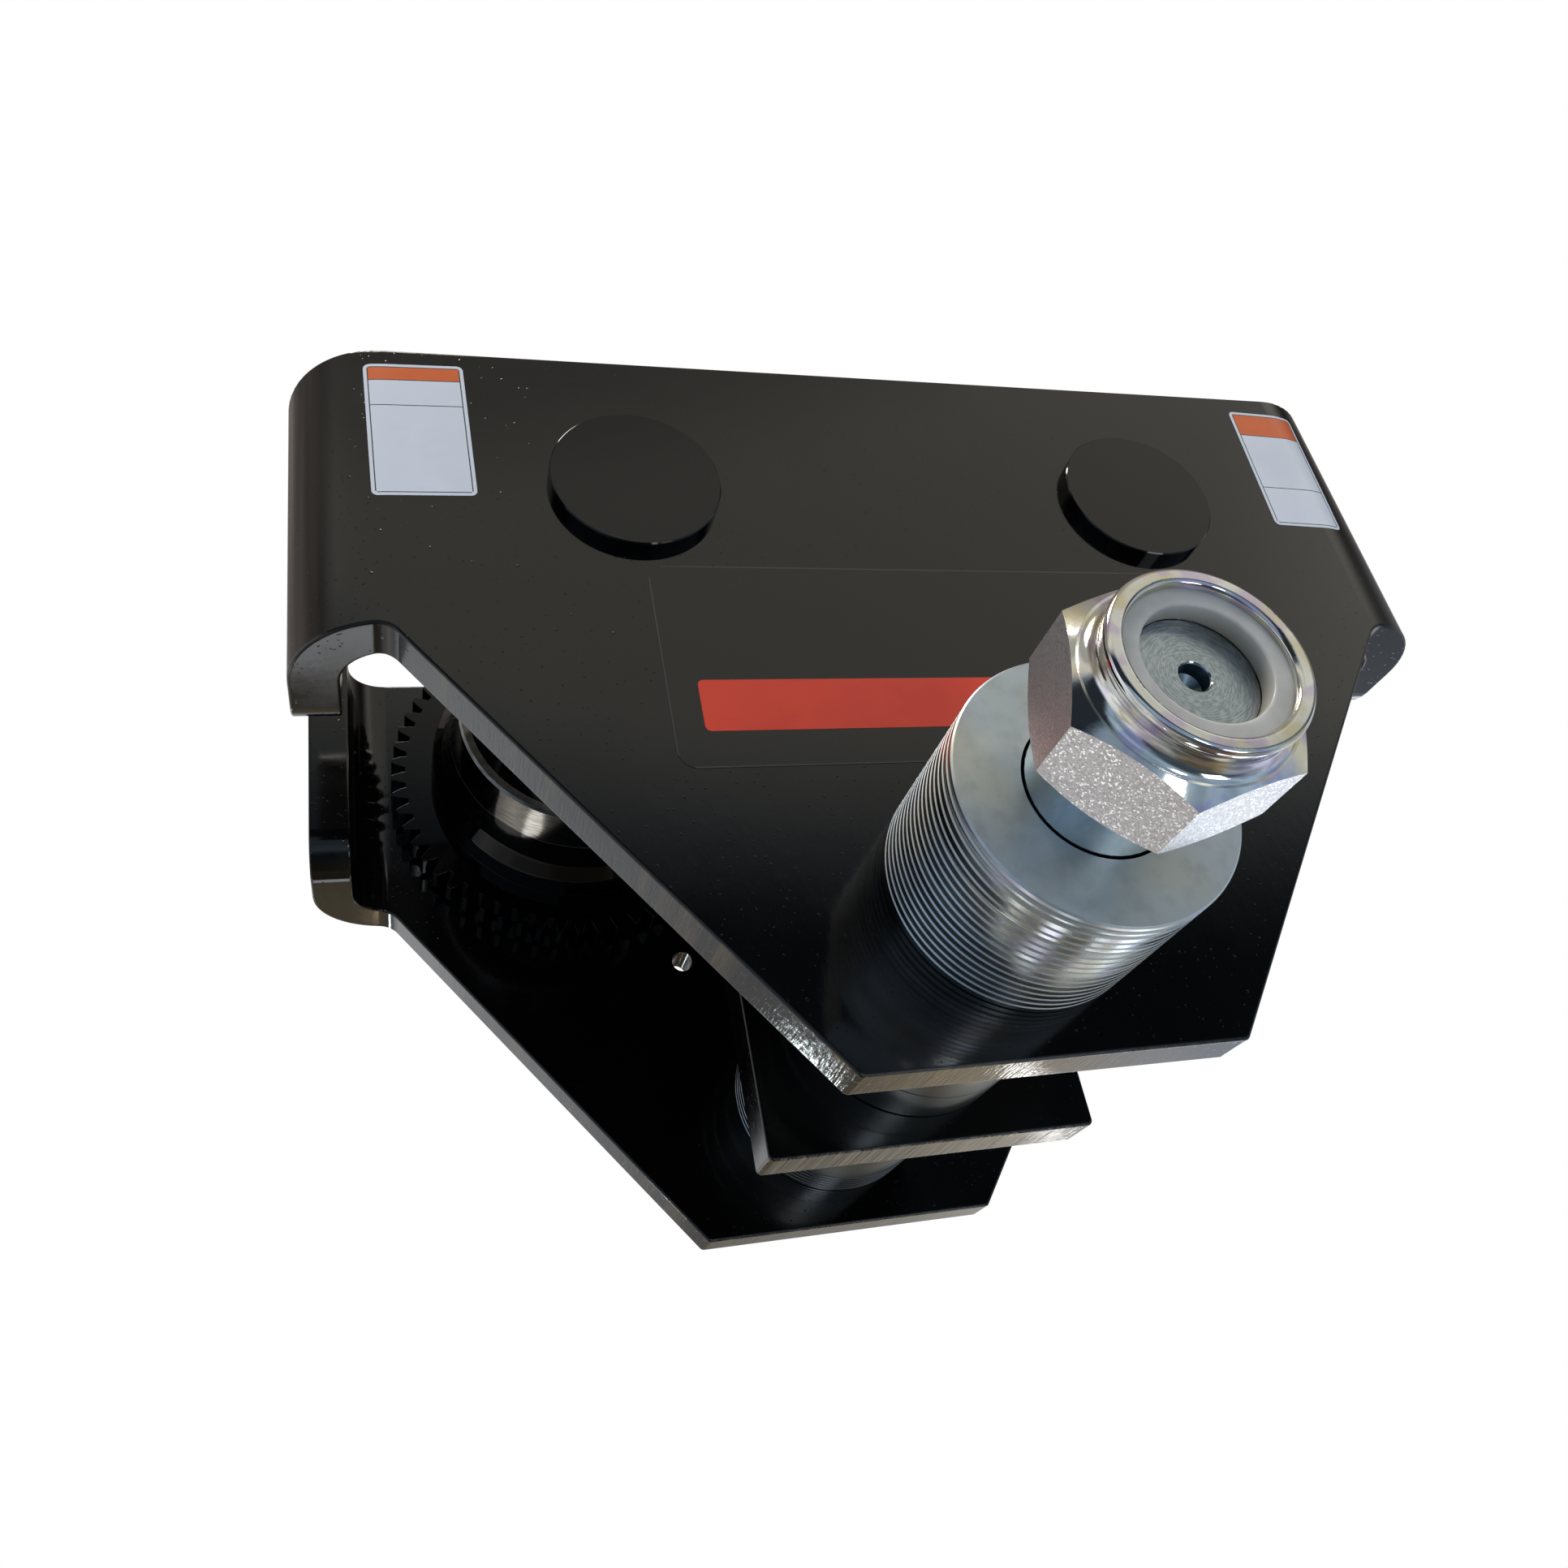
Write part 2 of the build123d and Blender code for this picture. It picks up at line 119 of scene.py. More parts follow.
# Inputs go by number. RANGE: 0 is the value, 1 and 2 the span it is read over, 3 and 4 what the
# span's ends give, which is 0 and 1 if not said. MIX: 0 is the share, and 2 and 3 are the numbers,
# or 6 and 7 the colours, that it mixes.
SMOOTH = {"interpolation_type": "SMOOTHSTEP"}
COLOUR = {"data_type": "RGBA"}
# Values of a noise between which haze sets in
HAZE: Span = (0.3, 0.7)


def linear(hex_colour: str) -> tuple[float, float, float, float]:
    """Turn an sRGB hex colour into linear values.

    Args:
        hex_colour: colour written as #rrggbb.

    Returns:
        Red, green, blue and a full alpha, linear.
    """
    def channel(start: int) -> float:
        """Linear value of the two hex digits at start."""
        value = int(hex_colour[start:start + 2], 16) / 255.0
        return value / 12.92 if value <= 0.04045 else ((value + 0.055) / 1.055) ** 2.4

    return channel(1), channel(3), channel(5), 1.0


def per_mm(size_mm: float) -> float:
    """Texture scale whose features are about size_mm across."""
    return 1.0 / (size_mm * MM)


def joint_axis(joint: str) -> tuple[float, float, float]:
    """Place of a joint's axis in the middle plane, mirrored to the right end, in metres."""
    place = next(entry["pos_m"] for entry in frame["joints"] if entry["name"] == joint)
    return abs(place[0]), 0.0, place[2]


def add_node(tree: bpy.types.NodeTree, kind: Kind, links: dict[Any, Any] | None = None,
             **settings: Any) -> Node:
    """Add a shader node, set it up and link it.

    Args:
        tree: node tree that takes the node.
        kind: which node it is.
        links: for each input, a value, a hex colour, a socket, or a node whose first output feeds it.
        settings: properties of the node, such as its operation.

    Returns:
        The new node.
    """
    node = tree.nodes.new(kind.value)
    for name, value in settings.items():
        setattr(node, name, value)
    for socket, value in (links or {}).items():
        if isinstance(value, Node):
            value = next(output for output in value.outputs if output.enabled)
        if isinstance(value, bpy.types.NodeSocket):
            tree.links.new(value, node.inputs[socket])
        else:
            node.inputs[socket].default_value = linear(value) if isinstance(value, str) else value
    return node


def start_nodes(owner: bpy.types.Material | bpy.types.World) -> Adder:
    """Empty the node tree of a material or a surround.

    Args:
        owner: what the nodes are for.

    Returns:
        What adds a node to it.
    """
    owner.use_nodes = True
    owner.node_tree.nodes.clear()
    return partial(add_node, owner.node_tree)


@dataclass(frozen=True)
class Pattern:
    """A noise over a surface: its features' size, its detail and depth, and where and how far it covers."""

    size_mm: float
    detail: float = 2.0
    depth_mm: float = 0.0
    span: Span = (0.35, 0.7)
    share: float = 1.0

    @property
    def depth(self) -> float:
        """Depth of the relief in metres."""
        return self.depth_mm * MM

    def over(self, place: Any) -> dict[str, Any]:
        """Inputs of the noise over given coordinates."""
        return {"Vector": place, "Scale": per_mm(self.size_mm), "Detail": self.detail}

    def cover(self, noise: Any) -> dict[int, Any]:
        """Inputs of the step by which the noise turns into patches."""
        return {0: noise, 1: self.span[0], 2: self.span[1], 4: self.share}


def mottle(add: Adder, noise: Any, pattern: Pattern, ground: Any, patch: Any) -> Node:
    """Lay patches of one colour over another.

    Args:
        add: adds a node to the finish.
        noise: what the patches follow.
        pattern: where the patches set in and how far they cover.
        ground: colour between the patches.
        patch: colour of the patches.

    Returns:
        The mixed colour.
    """
    share = add(Kind.RANGE, pattern.cover(noise), **SMOOTH)
    return add(Kind.MIX, {0: share, 6: ground, 7: patch}, **COLOUR)


# In a finish, a field that ends in _facing is a limit for how squarely a face points along one axis,
# from 0 to 1, and one that ends in _span gives the values of a noise between which a look sets in.
@dataclass(frozen=True)
class Finish:
    """A surface finish; each kind wires its own pattern into one shader."""

    name: str
    edge_round_mm: float = field(default=0.0, kw_only=True)

    def make(self) -> bpy.types.Material:
        """Build the material.

        Returns:
            The finished material.
        """
        material = bpy.data.materials.new(self.name)
        add = start_nodes(material)
        height, inputs = self.wire(add)
        relief = {"Height": height, "Distance": 1.0}
        if self.edge_round_mm:
            relief["Normal"] = add(Kind.ROUND, {"Radius": self.edge_round_mm * MM})
        shader = add(Kind.SHADER, {**inputs, "Normal": add(Kind.BUMP, relief)})
        add(Kind.OUTPUT, {"Surface": shader})
        log.info("finish %s", self.name)
        return material

    def wire(self, add: Adder) -> Wiring:
        """Wire the finish's pattern into its height in metres and the shader's other inputs."""
        raise NotImplementedError

    @staticmethod
    def spoke(add: Adder, place: Any, joint: str) -> Node:
        """Find the way from a joint's axis across the trolley to each point.

        Args:
            add: adds a node to the finish.
            place: Object coordinates of the piece.
            joint: name of the joint; an axle's axis serves both ends.

        Returns:
            Vector from the axis, level with the point.
        """
        mirrored = add(Kind.VECTOR, {0: place}, operation="ABSOLUTE")
        centred = add(Kind.VECTOR, {0: mirrored, 1: joint_axis(joint)}, operation="SUBTRACT")
        return add(Kind.VECTOR, {0: centred, 1: (1.0, 0.0, 1.0)}, operation="MULTIPLY")


@dataclass(frozen=True)
class Clouded(Finish):
    """An even finish with soft clouds of a second tone, some haze and a fine relief."""

    colour: str
    shade: str
    cloud: Pattern
    fine: Pattern
    roughness: Span
    metallic: float = 0.0

    def wire(self, add: Adder) -> Wiring:
        """Wire the coat alone."""
        tone, rough, height = self.coat(add, add(Kind.PLACE).outputs["Object"])
        return height, {"Base Color": tone, "Metallic": self.metallic, "Roughness": rough}

    def coat(self, add: Adder, place: Any) -> tuple[Node, Node, Node]:
        """Wire clouds, haze and relief.

        Args:
            add: adds a node to the finish.
            place: Object coordinates of the piece.

        Returns:
            Colour, roughness and height in metres.
        """
        cloud = add(Kind.NOISE, self.cloud.over(place))
        tone = mottle(add, cloud, self.cloud, self.colour, self.shade)
        rough = add(Kind.RANGE, dict(enumerate((cloud, *HAZE, *self.roughness))), **SMOOTH)
        fine = add(Kind.NOISE, self.fine.over(place))
        height = add(Kind.MATHS, {0: fine, 1: self.fine.depth}, operation="MULTIPLY")
        return tone, rough, height


class CutEdges(Enum):
    """Which faces of a painted plate keep the marks of the tool that cut them."""

    PLATE_OUTLINE = "plate_outline"
    SAWN_ENDS = "sawn_ends"


# Sprayed black enamel on hot rolled plate: a wet, mirror-like film with a faint orange peel.
# Cut edges keep the cutter's fine grooves under the paint, which break up their reflections.
@dataclass(frozen=True)
class BlackEnamel(Finish):
    """Glossy black enamel over flat plate and its cut edges."""

    edges: CutEdges = CutEdges.PLATE_OUTLINE
    colour: str = "#060606"
    edge_colour: str = "#15130f"
    scuff_colour: str = "#4e412c"
    peel: Pattern = Pattern(4.0, 1.0, depth_mm=0.006)
    nib: Pattern = Pattern(1.3, 0.0, depth_mm=0.03, span=(0.75, 0.84))
    run: Pattern = Pattern(2.4, depth_mm=0.014)
    run_squeeze: float = 0.4
    run_below_mm: float = 96.0
    run_full_mm: float = 66.0
    groove: Pattern = Pattern(0.9, 3.0, depth_mm=0.06)
    groove_run_mm: float = 9.0
    groove_turn_deg: float = 0.0
    calm_from_mm: float = 118.0
    calm_to_mm: float = 138.0
    calm_share: float = 0.12
    haze: Pattern = Pattern(24.0, 4.0)
    scuff: Pattern = Pattern(7.0, 6.0, span=(0.45, 0.68))
    roughness: Span = (0.063, 0.126)
    edge_roughness: float = 0.07
    edge_round_mm: float = 0.7
    shine: float = 0.5
    cut_facing: Span = (0.3, 0.55)

    def wire(self, add: Adder) -> Wiring:
        """Wire orange peel, dust nibs, runs low down and cut grooves.

        Args:
            add: adds a node to the finish.

        Returns:
            Height in metres, and the shader's other inputs.
        """
        where = add(Kind.PLACE)
        place = where.outputs["Object"]
        cut = self.cut_faces(add, where)
        peel = add(Kind.NOISE, self.peel.over(place))
        dust = add(Kind.NOISE, self.nib.over(place))
        nib = add(Kind.RANGE, {**self.nib.cover(dust), 4: self.nib.depth}, **SMOOTH)
        film = add(Kind.MATHS, {0: peel, 1: self.peel.depth, 2: nib}, operation="MULTIPLY_ADD")
        rise = add(Kind.SPLIT, {0: place}).outputs["Z"]
        thick = add(Kind.RANGE, {0: rise, 1: self.run_below_mm * MM, 2: self.run_full_mm * MM,
                                 4: self.run.depth}, **SMOOTH)
        drawn = add(Kind.MAPPING, {"Vector": place, "Scale": (1.0, 1.0, self.run_squeeze)})
        run = add(Kind.NOISE, self.run.over(drawn))
        film = add(Kind.MATHS, {0: run, 1: thick, 2: film}, operation="MULTIPLY_ADD")
        along = add(Kind.MAPPING, {
            "Vector": place,
            "Rotation": (0.0, 0.0, math.radians(self.groove_turn_deg)),
            "Scale": (1.0, self.groove.size_mm / self.groove_run_mm, 1.0),
        })
        groove = add(Kind.NOISE, self.groove.over(along))
        depth = add(Kind.MATHS, {0: cut, 1: self.groove.depth}, operation="MULTIPLY")
        height = add(Kind.MATHS, {0: groove, 1: depth, 2: film}, operation="MULTIPLY_ADD")
        haze = add(Kind.NOISE, self.haze.over(place))
        gloss = add(Kind.RANGE, dict(enumerate((haze, *HAZE, *self.roughness))), **SMOOTH)
        rough = add(Kind.MIX, {0: cut, 2: gloss, 3: self.edge_roughness})
        scuff = add(Kind.NOISE, self.scuff.over(along))
        edge = mottle(add, scuff, self.scuff, self.edge_colour, self.scuff_colour)
        tone = add(Kind.MIX, {0: cut, 6: self.colour, 7: edge}, **COLOUR)
        return height, {"Base Color": tone, "Roughness": rough, "Specular IOR Level": self.shine}

    def cut_faces(self, add: Adder, where: Node) -> Node:
        """Find the cut faces by the way they point and, on a bent plate, how high they lie.

        Args:
            add: adds a node to the finish.
            where: Texture Coordinate node of the piece.

        Returns:
            One on cut faces, less on the bumpers' smooth edges, and zero elsewhere.
        """
        point = add(Kind.SPLIT, {0: where.outputs["Normal"]}).outputs["Z"]
        level = add(Kind.MATHS, {0: point}, operation="ABSOLUTE")
        cut = add(Kind.RANGE, dict(enumerate((level, *self.cut_facing))), **SMOOTH)
        if self.edges is CutEdges.SAWN_ENDS:
            return cut
        rise = add(Kind.SPLIT, {0: where.outputs["Object"]}).outputs["Z"]
        calm = add(Kind.RANGE, {0: rise, 1: self.calm_from_mm * MM, 2: self.calm_to_mm * MM,
                                3: 1.0, 4: self.calm_share}, **SMOOTH)
        return add(Kind.MATHS, {0: cut, 1: calm}, operation="MULTIPLY")


# Bright zinc plating on turned steel: a clear bluish metal with a faint yellow blush
# where its passivated film is thicker, and a very fine grain.
@dataclass(frozen=True)
class BrightZinc(Clouded):
    """Clear passivated zinc plating on a turned piece."""

    colour: str = "#cfdae2"
    shade: str = "#d6d5c8"
    cloud: Pattern = Pattern(34.0, 1.5, span=(0.42, 0.66), share=0.8)
    fine: Pattern = Pattern(0.5, depth_mm=0.0012)
    roughness: Span = (0.102, 0.144)
    metallic: float = 1.0


# Washers pressed from sheet and zinc plated: satin faces, and rims where each one was sheared bright
# over part of its thickness and torn dull over the rest, so that no two rims shine alike.
@dataclass(frozen=True)
class PressedZinc(BrightZinc):
    """Zinc plating on a stack of pressed washers."""

    roughness: Span = (0.374, 0.528)
    sheet_mm: float = 3.0
    dull: str = "#55595d"
    violet: str = "#bdb9d2"
    sheared_part: Span = (0.25, 0.95)
    dim_share: float = 0.6
    torn_share: float = 0.55
    tint: Pattern = Pattern(11.0, span=(0.5, 0.68), share=0.7)
    mark: Pattern = Pattern(5.0, 6.0, span=(0.4, 0.75), share=0.16)
    rim_roughness: Span = (0.16, 0.34)
    torn_roughness: float = 0.22
    tear: Pattern = Pattern(0.4, 3.0, depth_mm=0.06)
    tear_squeeze: float = 0.2
    sheared_depth: float = 0.2
    rim_facing: Span = (0.3, 0.8)
    torn_fade: Span = (-0.05, 0.05)
    dim_from: float = 0.3

    def wire(self, add: Adder) -> Wiring:
        """Wire satin faces, and rims with their sheared and torn bands.

        Args:
            add: adds a node to the finish.

        Returns:
            Height in metres, and the shader's other inputs.
        """
        where = add(Kind.PLACE)
        place = where.outputs["Object"]
        tone, rough, height = self.coat(add, place)
        point = add(Kind.SPLIT, {0: where.outputs["Normal"]}).outputs["Y"]
        facing = add(Kind.MATHS, {0: point}, operation="ABSOLUTE")
        rim = add(Kind.RANGE, dict(enumerate((facing, *self.rim_facing, 1.0, 0.0))), **SMOOTH)
        along = add(Kind.SPLIT, {0: place}).outputs["Y"]
        count = add(Kind.MATHS, {0: along, 1: self.sheet_mm * MM}, operation="DIVIDE")
        number = add(Kind.MATHS, {0: count}, operation="FLOOR")
        own = add(Kind.CHANCE, {"W": number}, noise_dimensions="1D")
        chance = add(Kind.SPLIT, {0: own.outputs["Color"]})
        # Each washer is sheared over its own share of the thickness
        within = add(Kind.MATHS, {0: count}, operation="FRACT")
        least, most = self.sheared_part
        share = add(Kind.RANGE, {0: chance.outputs["X"], 3: least, 4: most})
        past = add(Kind.MATHS, {0: within, 1: share}, operation="SUBTRACT")
        torn = add(Kind.RANGE, dict(enumerate((past, *self.torn_fade))), **SMOOTH)
        torn = add(Kind.MATHS, {0: torn, 1: rim}, operation="MULTIPLY")
        dim = add(Kind.RANGE, {0: chance.outputs["Y"], 1: self.dim_from, 4: self.dim_share})
        dim = add(Kind.MATHS, {0: dim, 1: rim}, operation="MULTIPLY")
        dim = add(Kind.MATHS, {0: torn, 1: self.torn_share, 2: dim}, operation="MULTIPLY_ADD")
        tone = add(Kind.MIX, {0: dim, 6: tone, 7: self.dull}, **COLOUR)
        tint = add(Kind.NOISE, self.tint.over(place))
        tint = add(Kind.RANGE, self.tint.cover(tint), **SMOOTH)
        tint = add(Kind.MATHS, {0: tint, 1: rim}, operation="MULTIPLY")
        tone = add(Kind.MIX, {0: tint, 6: tone, 7: self.violet}, **COLOUR)
        tone = mottle(add, add(Kind.NOISE, self.mark.over(place)), self.mark, tone, self.dull)
        clear, satin = self.rim_roughness
        bright = add(Kind.RANGE, {0: chance.outputs["Z"], 3: clear, 4: satin})
        bright = add(Kind.MATHS, {0: torn, 1: self.torn_roughness, 2: bright}, operation="MULTIPLY_ADD")
        rough = add(Kind.MIX, {0: rim, 2: rough, 3: bright})
        drag = add(Kind.MAPPING, {"Vector": place, "Scale": (1.0, self.tear_squeeze, 1.0)})
        tear = add(Kind.NOISE, self.tear.over(drag))
        pit = add(Kind.MATHS, {0: torn, 1: 1.0 - self.sheared_depth, 2: self.sheared_depth},
                  operation="MULTIPLY_ADD")
        pit = add(Kind.MATHS, {0: pit, 1: rim}, operation="MULTIPLY")
        pit = add(Kind.MATHS, {0: pit, 1: self.tear.depth}, operation="MULTIPLY")
        height = add(Kind.MATHS, {0: tear, 1: pit, 2: height}, operation="MULTIPLY_ADD")
        return height, {"Base Color": tone, "Metallic": self.metallic, "Roughness": rough}


# A forged nut, blasted and then zinc plated: its flats are coarse and sparkle grain by grain,
# while the turned chamfer and the rolled collar shine like chrome with a yellow blush.
@dataclass(frozen=True)
class NutZinc(Finish):
    """Zinc plating, grainy on the flats and bright where the nut was turned or rolled."""

    bright: str = "#dddeda"
    yellow: str = "#d6cba6"
    violet: str = "#c9bdd6"
    grain: str = "#dcdadb"
    pit: str = "#c3c0c0"
    spark: str = "#fdfdfe"
    sand: Pattern = Pattern(0.4, depth_mm=0.018, span=(0.5, 0.05))
    sand_roughness: Span = (0.44, 0.32)
    blush: Pattern = Pattern(13.0, span=(0.45, 0.66), share=0.75)
    tint: Pattern = Pattern(8.0, span=(0.5, 0.66), share=0.8)
    dent: Pattern = Pattern(3.2, depth_mm=0.022)
    roughness: Span = (0.06, 0.13)
    rim_roughness: float = 0.16
    flats_from_mm: float = 27.1
    flats_facing: float = 0.08
    rim_facing: Span = (0.93, 0.99)
    spark_span: Span = (0.8, 0.95)
    polish_span: Span = (0.35, 0.65)

    def wire(self, add: Adder) -> Wiring:
        """Wire grain on the flats, a satin rim and a clear polish elsewhere.

        Args:
            add: adds a node to the finish.

        Returns:
            Height in metres, and the shader's other inputs.
        """
        where = add(Kind.PLACE)
        place = where.outputs["Object"]
        radius = add(Kind.VECTOR, {0: self.spoke(add, place, "hanger_swing")}, operation="LENGTH")
        outer = add(Kind.MATHS, {0: radius, 1: self.flats_from_mm * MM}, operation="GREATER_THAN")
        point = add(Kind.SPLIT, {0: where.outputs["Normal"]}).outputs["Y"]
        facing = add(Kind.MATHS, {0: point}, operation="ABSOLUTE")
        level = add(Kind.MATHS, {0: facing, 1: self.flats_facing}, operation="LESS_THAN")
        flat = add(Kind.MATHS, {0: outer, 1: level}, operation="MULTIPLY")
        rim = add(Kind.RANGE, dict(enumerate((facing, *self.rim_facing))), **SMOOTH)
        sand = add(Kind.CELLS, {"Vector": place, "Scale": per_mm(self.sand.size_mm)})
        own = add(Kind.SPLIT, {0: sand.outputs["Color"]}).outputs["X"]
        grain = mottle(add, own, self.sand, self.grain, self.pit)
        spark = add(Kind.RANGE, dict(enumerate((own, *self.spark_span))), **SMOOTH)
        grain = add(Kind.MIX, {0: spark, 6: grain, 7: self.spark}, **COLOUR)
        cloud = add(Kind.NOISE, self.blush.over(place))
        polish = mottle(add, cloud, self.blush, self.bright, self.yellow)
        polish = mottle(add, add(Kind.NOISE, self.tint.over(place)), self.tint, polish, self.violet)
        tone = add(Kind.MIX, {0: flat, 6: polish, 7: grain}, **COLOUR)
        shine = add(Kind.RANGE, dict(enumerate((cloud, *self.polish_span, *self.roughness))), **SMOOTH)
        shine = add(Kind.MATHS, {0: rim, 1: self.rim_roughness, 2: shine}, operation="MULTIPLY_ADD")
        coarse, fine = self.sand_roughness
        sandy = add(Kind.RANGE, {0: spark, 3: coarse, 4: fine})
        rough = add(Kind.MIX, {0: flat, 2: shine, 3: sandy})
        dent = add(Kind.NOISE, self.dent.over(place))
        dent = add(Kind.MATHS, {0: dent, 1: self.dent.depth}, operation="MULTIPLY")
        deep = add(Kind.MATHS, {0: flat, 1: self.sand.depth}, operation="MULTIPLY")
        height = add(Kind.MATHS, {0: own, 1: deep, 2: dent}, operation="MULTIPLY_ADD")
        return height, {"Base Color": tone, "Metallic": 1.0, "Roughness": rough}


# Turned steel, zinc plated: the end face keeps broken rings from the tool round a dull centre drilling,
# which is painted darker as shade inside the hole; the body is ground smooth.
@dataclass(frozen=True)
class TurnedShaft(Finish):
    """Turned and plated shaft steel with rings on its end faces."""

    colour: str = "#bcc6ca"
    end_colour: str = "#bfc9cf"
    end_shade: str = "#9da6ac"
    ring: Pattern = Pattern(0.33, depth_mm=0.03, span=(0.4, 0.62))
    arcs: float = 5.0
    cloud: Pattern = Pattern(9.0)
    roughness: Span = (0.064, 0.104)
    end_roughness: float = 0.32
    drilled_painted_shade: str = "#6d7a82"
    drilled_radius_mm: float = 3.9
    drilled_roughness: float = 0.36
    end_facing: float = 0.9

    def wire(self, add: Adder) -> Wiring:
        """Wire broken tool rings on the ends, a dull centre drilling painted darker as shade and a clear
        body.

        Args:
            add: adds a node to the finish.

        Returns:
            Height in metres, and the shader's other inputs.
        """
        where = add(Kind.PLACE)
        place = where.outputs["Object"]
        spoke = self.spoke(add, place, "hanger_swing")
        radius = add(Kind.VECTOR, {0: spoke}, operation="LENGTH")
        heading = add(Kind.VECTOR, {0: spoke}, operation="NORMALIZE")
        heading = add(Kind.VECTOR, {0: heading, "Scale": self.arcs}, operation="SCALE")
        rings = add(Kind.MATHS, {0: radius, 1: per_mm(self.ring.size_mm)}, operation="MULTIPLY")
        outward = add(Kind.JOIN, {"Y": rings})
        turned = add(Kind.VECTOR, {0: heading, 1: outward}, operation="ADD")
        ring = add(Kind.NOISE, {"Vector": turned, "Scale": 1.0, "Detail": self.ring.detail})
        point = add(Kind.SPLIT, {0: where.outputs["Normal"]}).outputs["Y"]
        facing = add(Kind.MATHS, {0: point}, operation="ABSOLUTE")
        end = add(Kind.MATHS, {0: facing, 1: self.end_facing}, operation="GREATER_THAN")
        face = mottle(add, ring, self.ring, self.end_shade, self.end_colour)
        tone = add(Kind.MIX, {0: end, 6: self.colour, 7: face}, **COLOUR)
        cloud = add(Kind.NOISE, self.cloud.over(place))
        body = add(Kind.RANGE, dict(enumerate((cloud, *HAZE, *self.roughness))), **SMOOTH)
        rough = add(Kind.MIX, {0: end, 2: body, 3: self.end_roughness})
        # Painted shade: the centre drilling takes a darker colour, and a rougher finish
        bore_dull_and_shaded = add(Kind.MATHS, {0: radius, 1: self.drilled_radius_mm * MM}, operation="LESS_THAN")
        tone = add(Kind.MIX, {0: bore_dull_and_shaded, 6: tone, 7: self.drilled_painted_shade}, **COLOUR)
        rough = add(Kind.MIX, {0: bore_dull_and_shaded, 2: rough, 3: self.drilled_roughness})
        depth = add(Kind.MATHS, {0: end, 1: self.ring.depth}, operation="MULTIPLY")
        height = add(Kind.MATHS, {0: ring, 1: depth}, operation="MULTIPLY")
        return height, {"Base Color": tone, "Metallic": 1.0, "Roughness": rough}


# Undyed nylon: milky, a little see-through, with the soft shine of a moulded face;
# its bore is painted a darker brown where it meets the shaft, as shade inside the bore.
@dataclass(frozen=True)
class NaturalNylon(Finish):
    """Moulded natural nylon."""

    colour: str = "#cfcdc9"
    shade: str = "#c3c0bb"
    bore_shade_colour: str = "#9a8f79"
    bore_shade_from_mm: float = 203.6
    bore_shade_to_mm: float = 208.4
    bore_shade_share: float = 0.85
    cloud: Pattern = Pattern(9.0, span=(0.35, 0.65))
    skin: Pattern = Pattern(1.6, 1.0, depth_mm=0.004)
    roughness: float = 0.32
    ior: float = 1.53
    milk_share: float = 0.7
    milk_depth_mm: float = 4.0
    milk_colour: tuple[float, float, float] = (1.0, 0.95, 0.9)

    def wire(self, add: Adder) -> Wiring:
        """Wire a faint mottle, painted shade in the bore near the shaft and a milky depth.

        Args:
            add: adds a node to the finish.

        Returns:
            Height in metres, and the shader's other inputs.
        """
        place = add(Kind.PLACE).outputs["Object"]
        milk = mottle(add, add(Kind.NOISE, self.cloud.over(place)), self.cloud, self.colour, self.shade)
        along = add(Kind.SPLIT, {0: place}).outputs["Y"]
        reach = add(Kind.MATHS, {0: along}, operation="ABSOLUTE")
        # Painted shade: the bore turns a darker brown towards the shaft's end
        oil = add(Kind.RANGE, {0: reach, 1: self.bore_shade_from_mm * MM, 2: self.bore_shade_to_mm * MM,
                               3: self.bore_shade_share, 4: 0.0}, **SMOOTH)
        tone = add(Kind.MIX, {0: oil, 6: milk, 7: self.bore_shade_colour}, **COLOUR)
        skin = add(Kind.NOISE, self.skin.over(place))
        height = add(Kind.MATHS, {0: skin, 1: self.skin.depth}, operation="MULTIPLY")
        return height, {"Base Color": tone, "Roughness": self.roughness, "IOR": self.ior,
                        "Subsurface Weight": self.milk_share, "Subsurface Radius": self.milk_colour,
                        "Subsurface Scale": self.milk_depth_mm * MM}


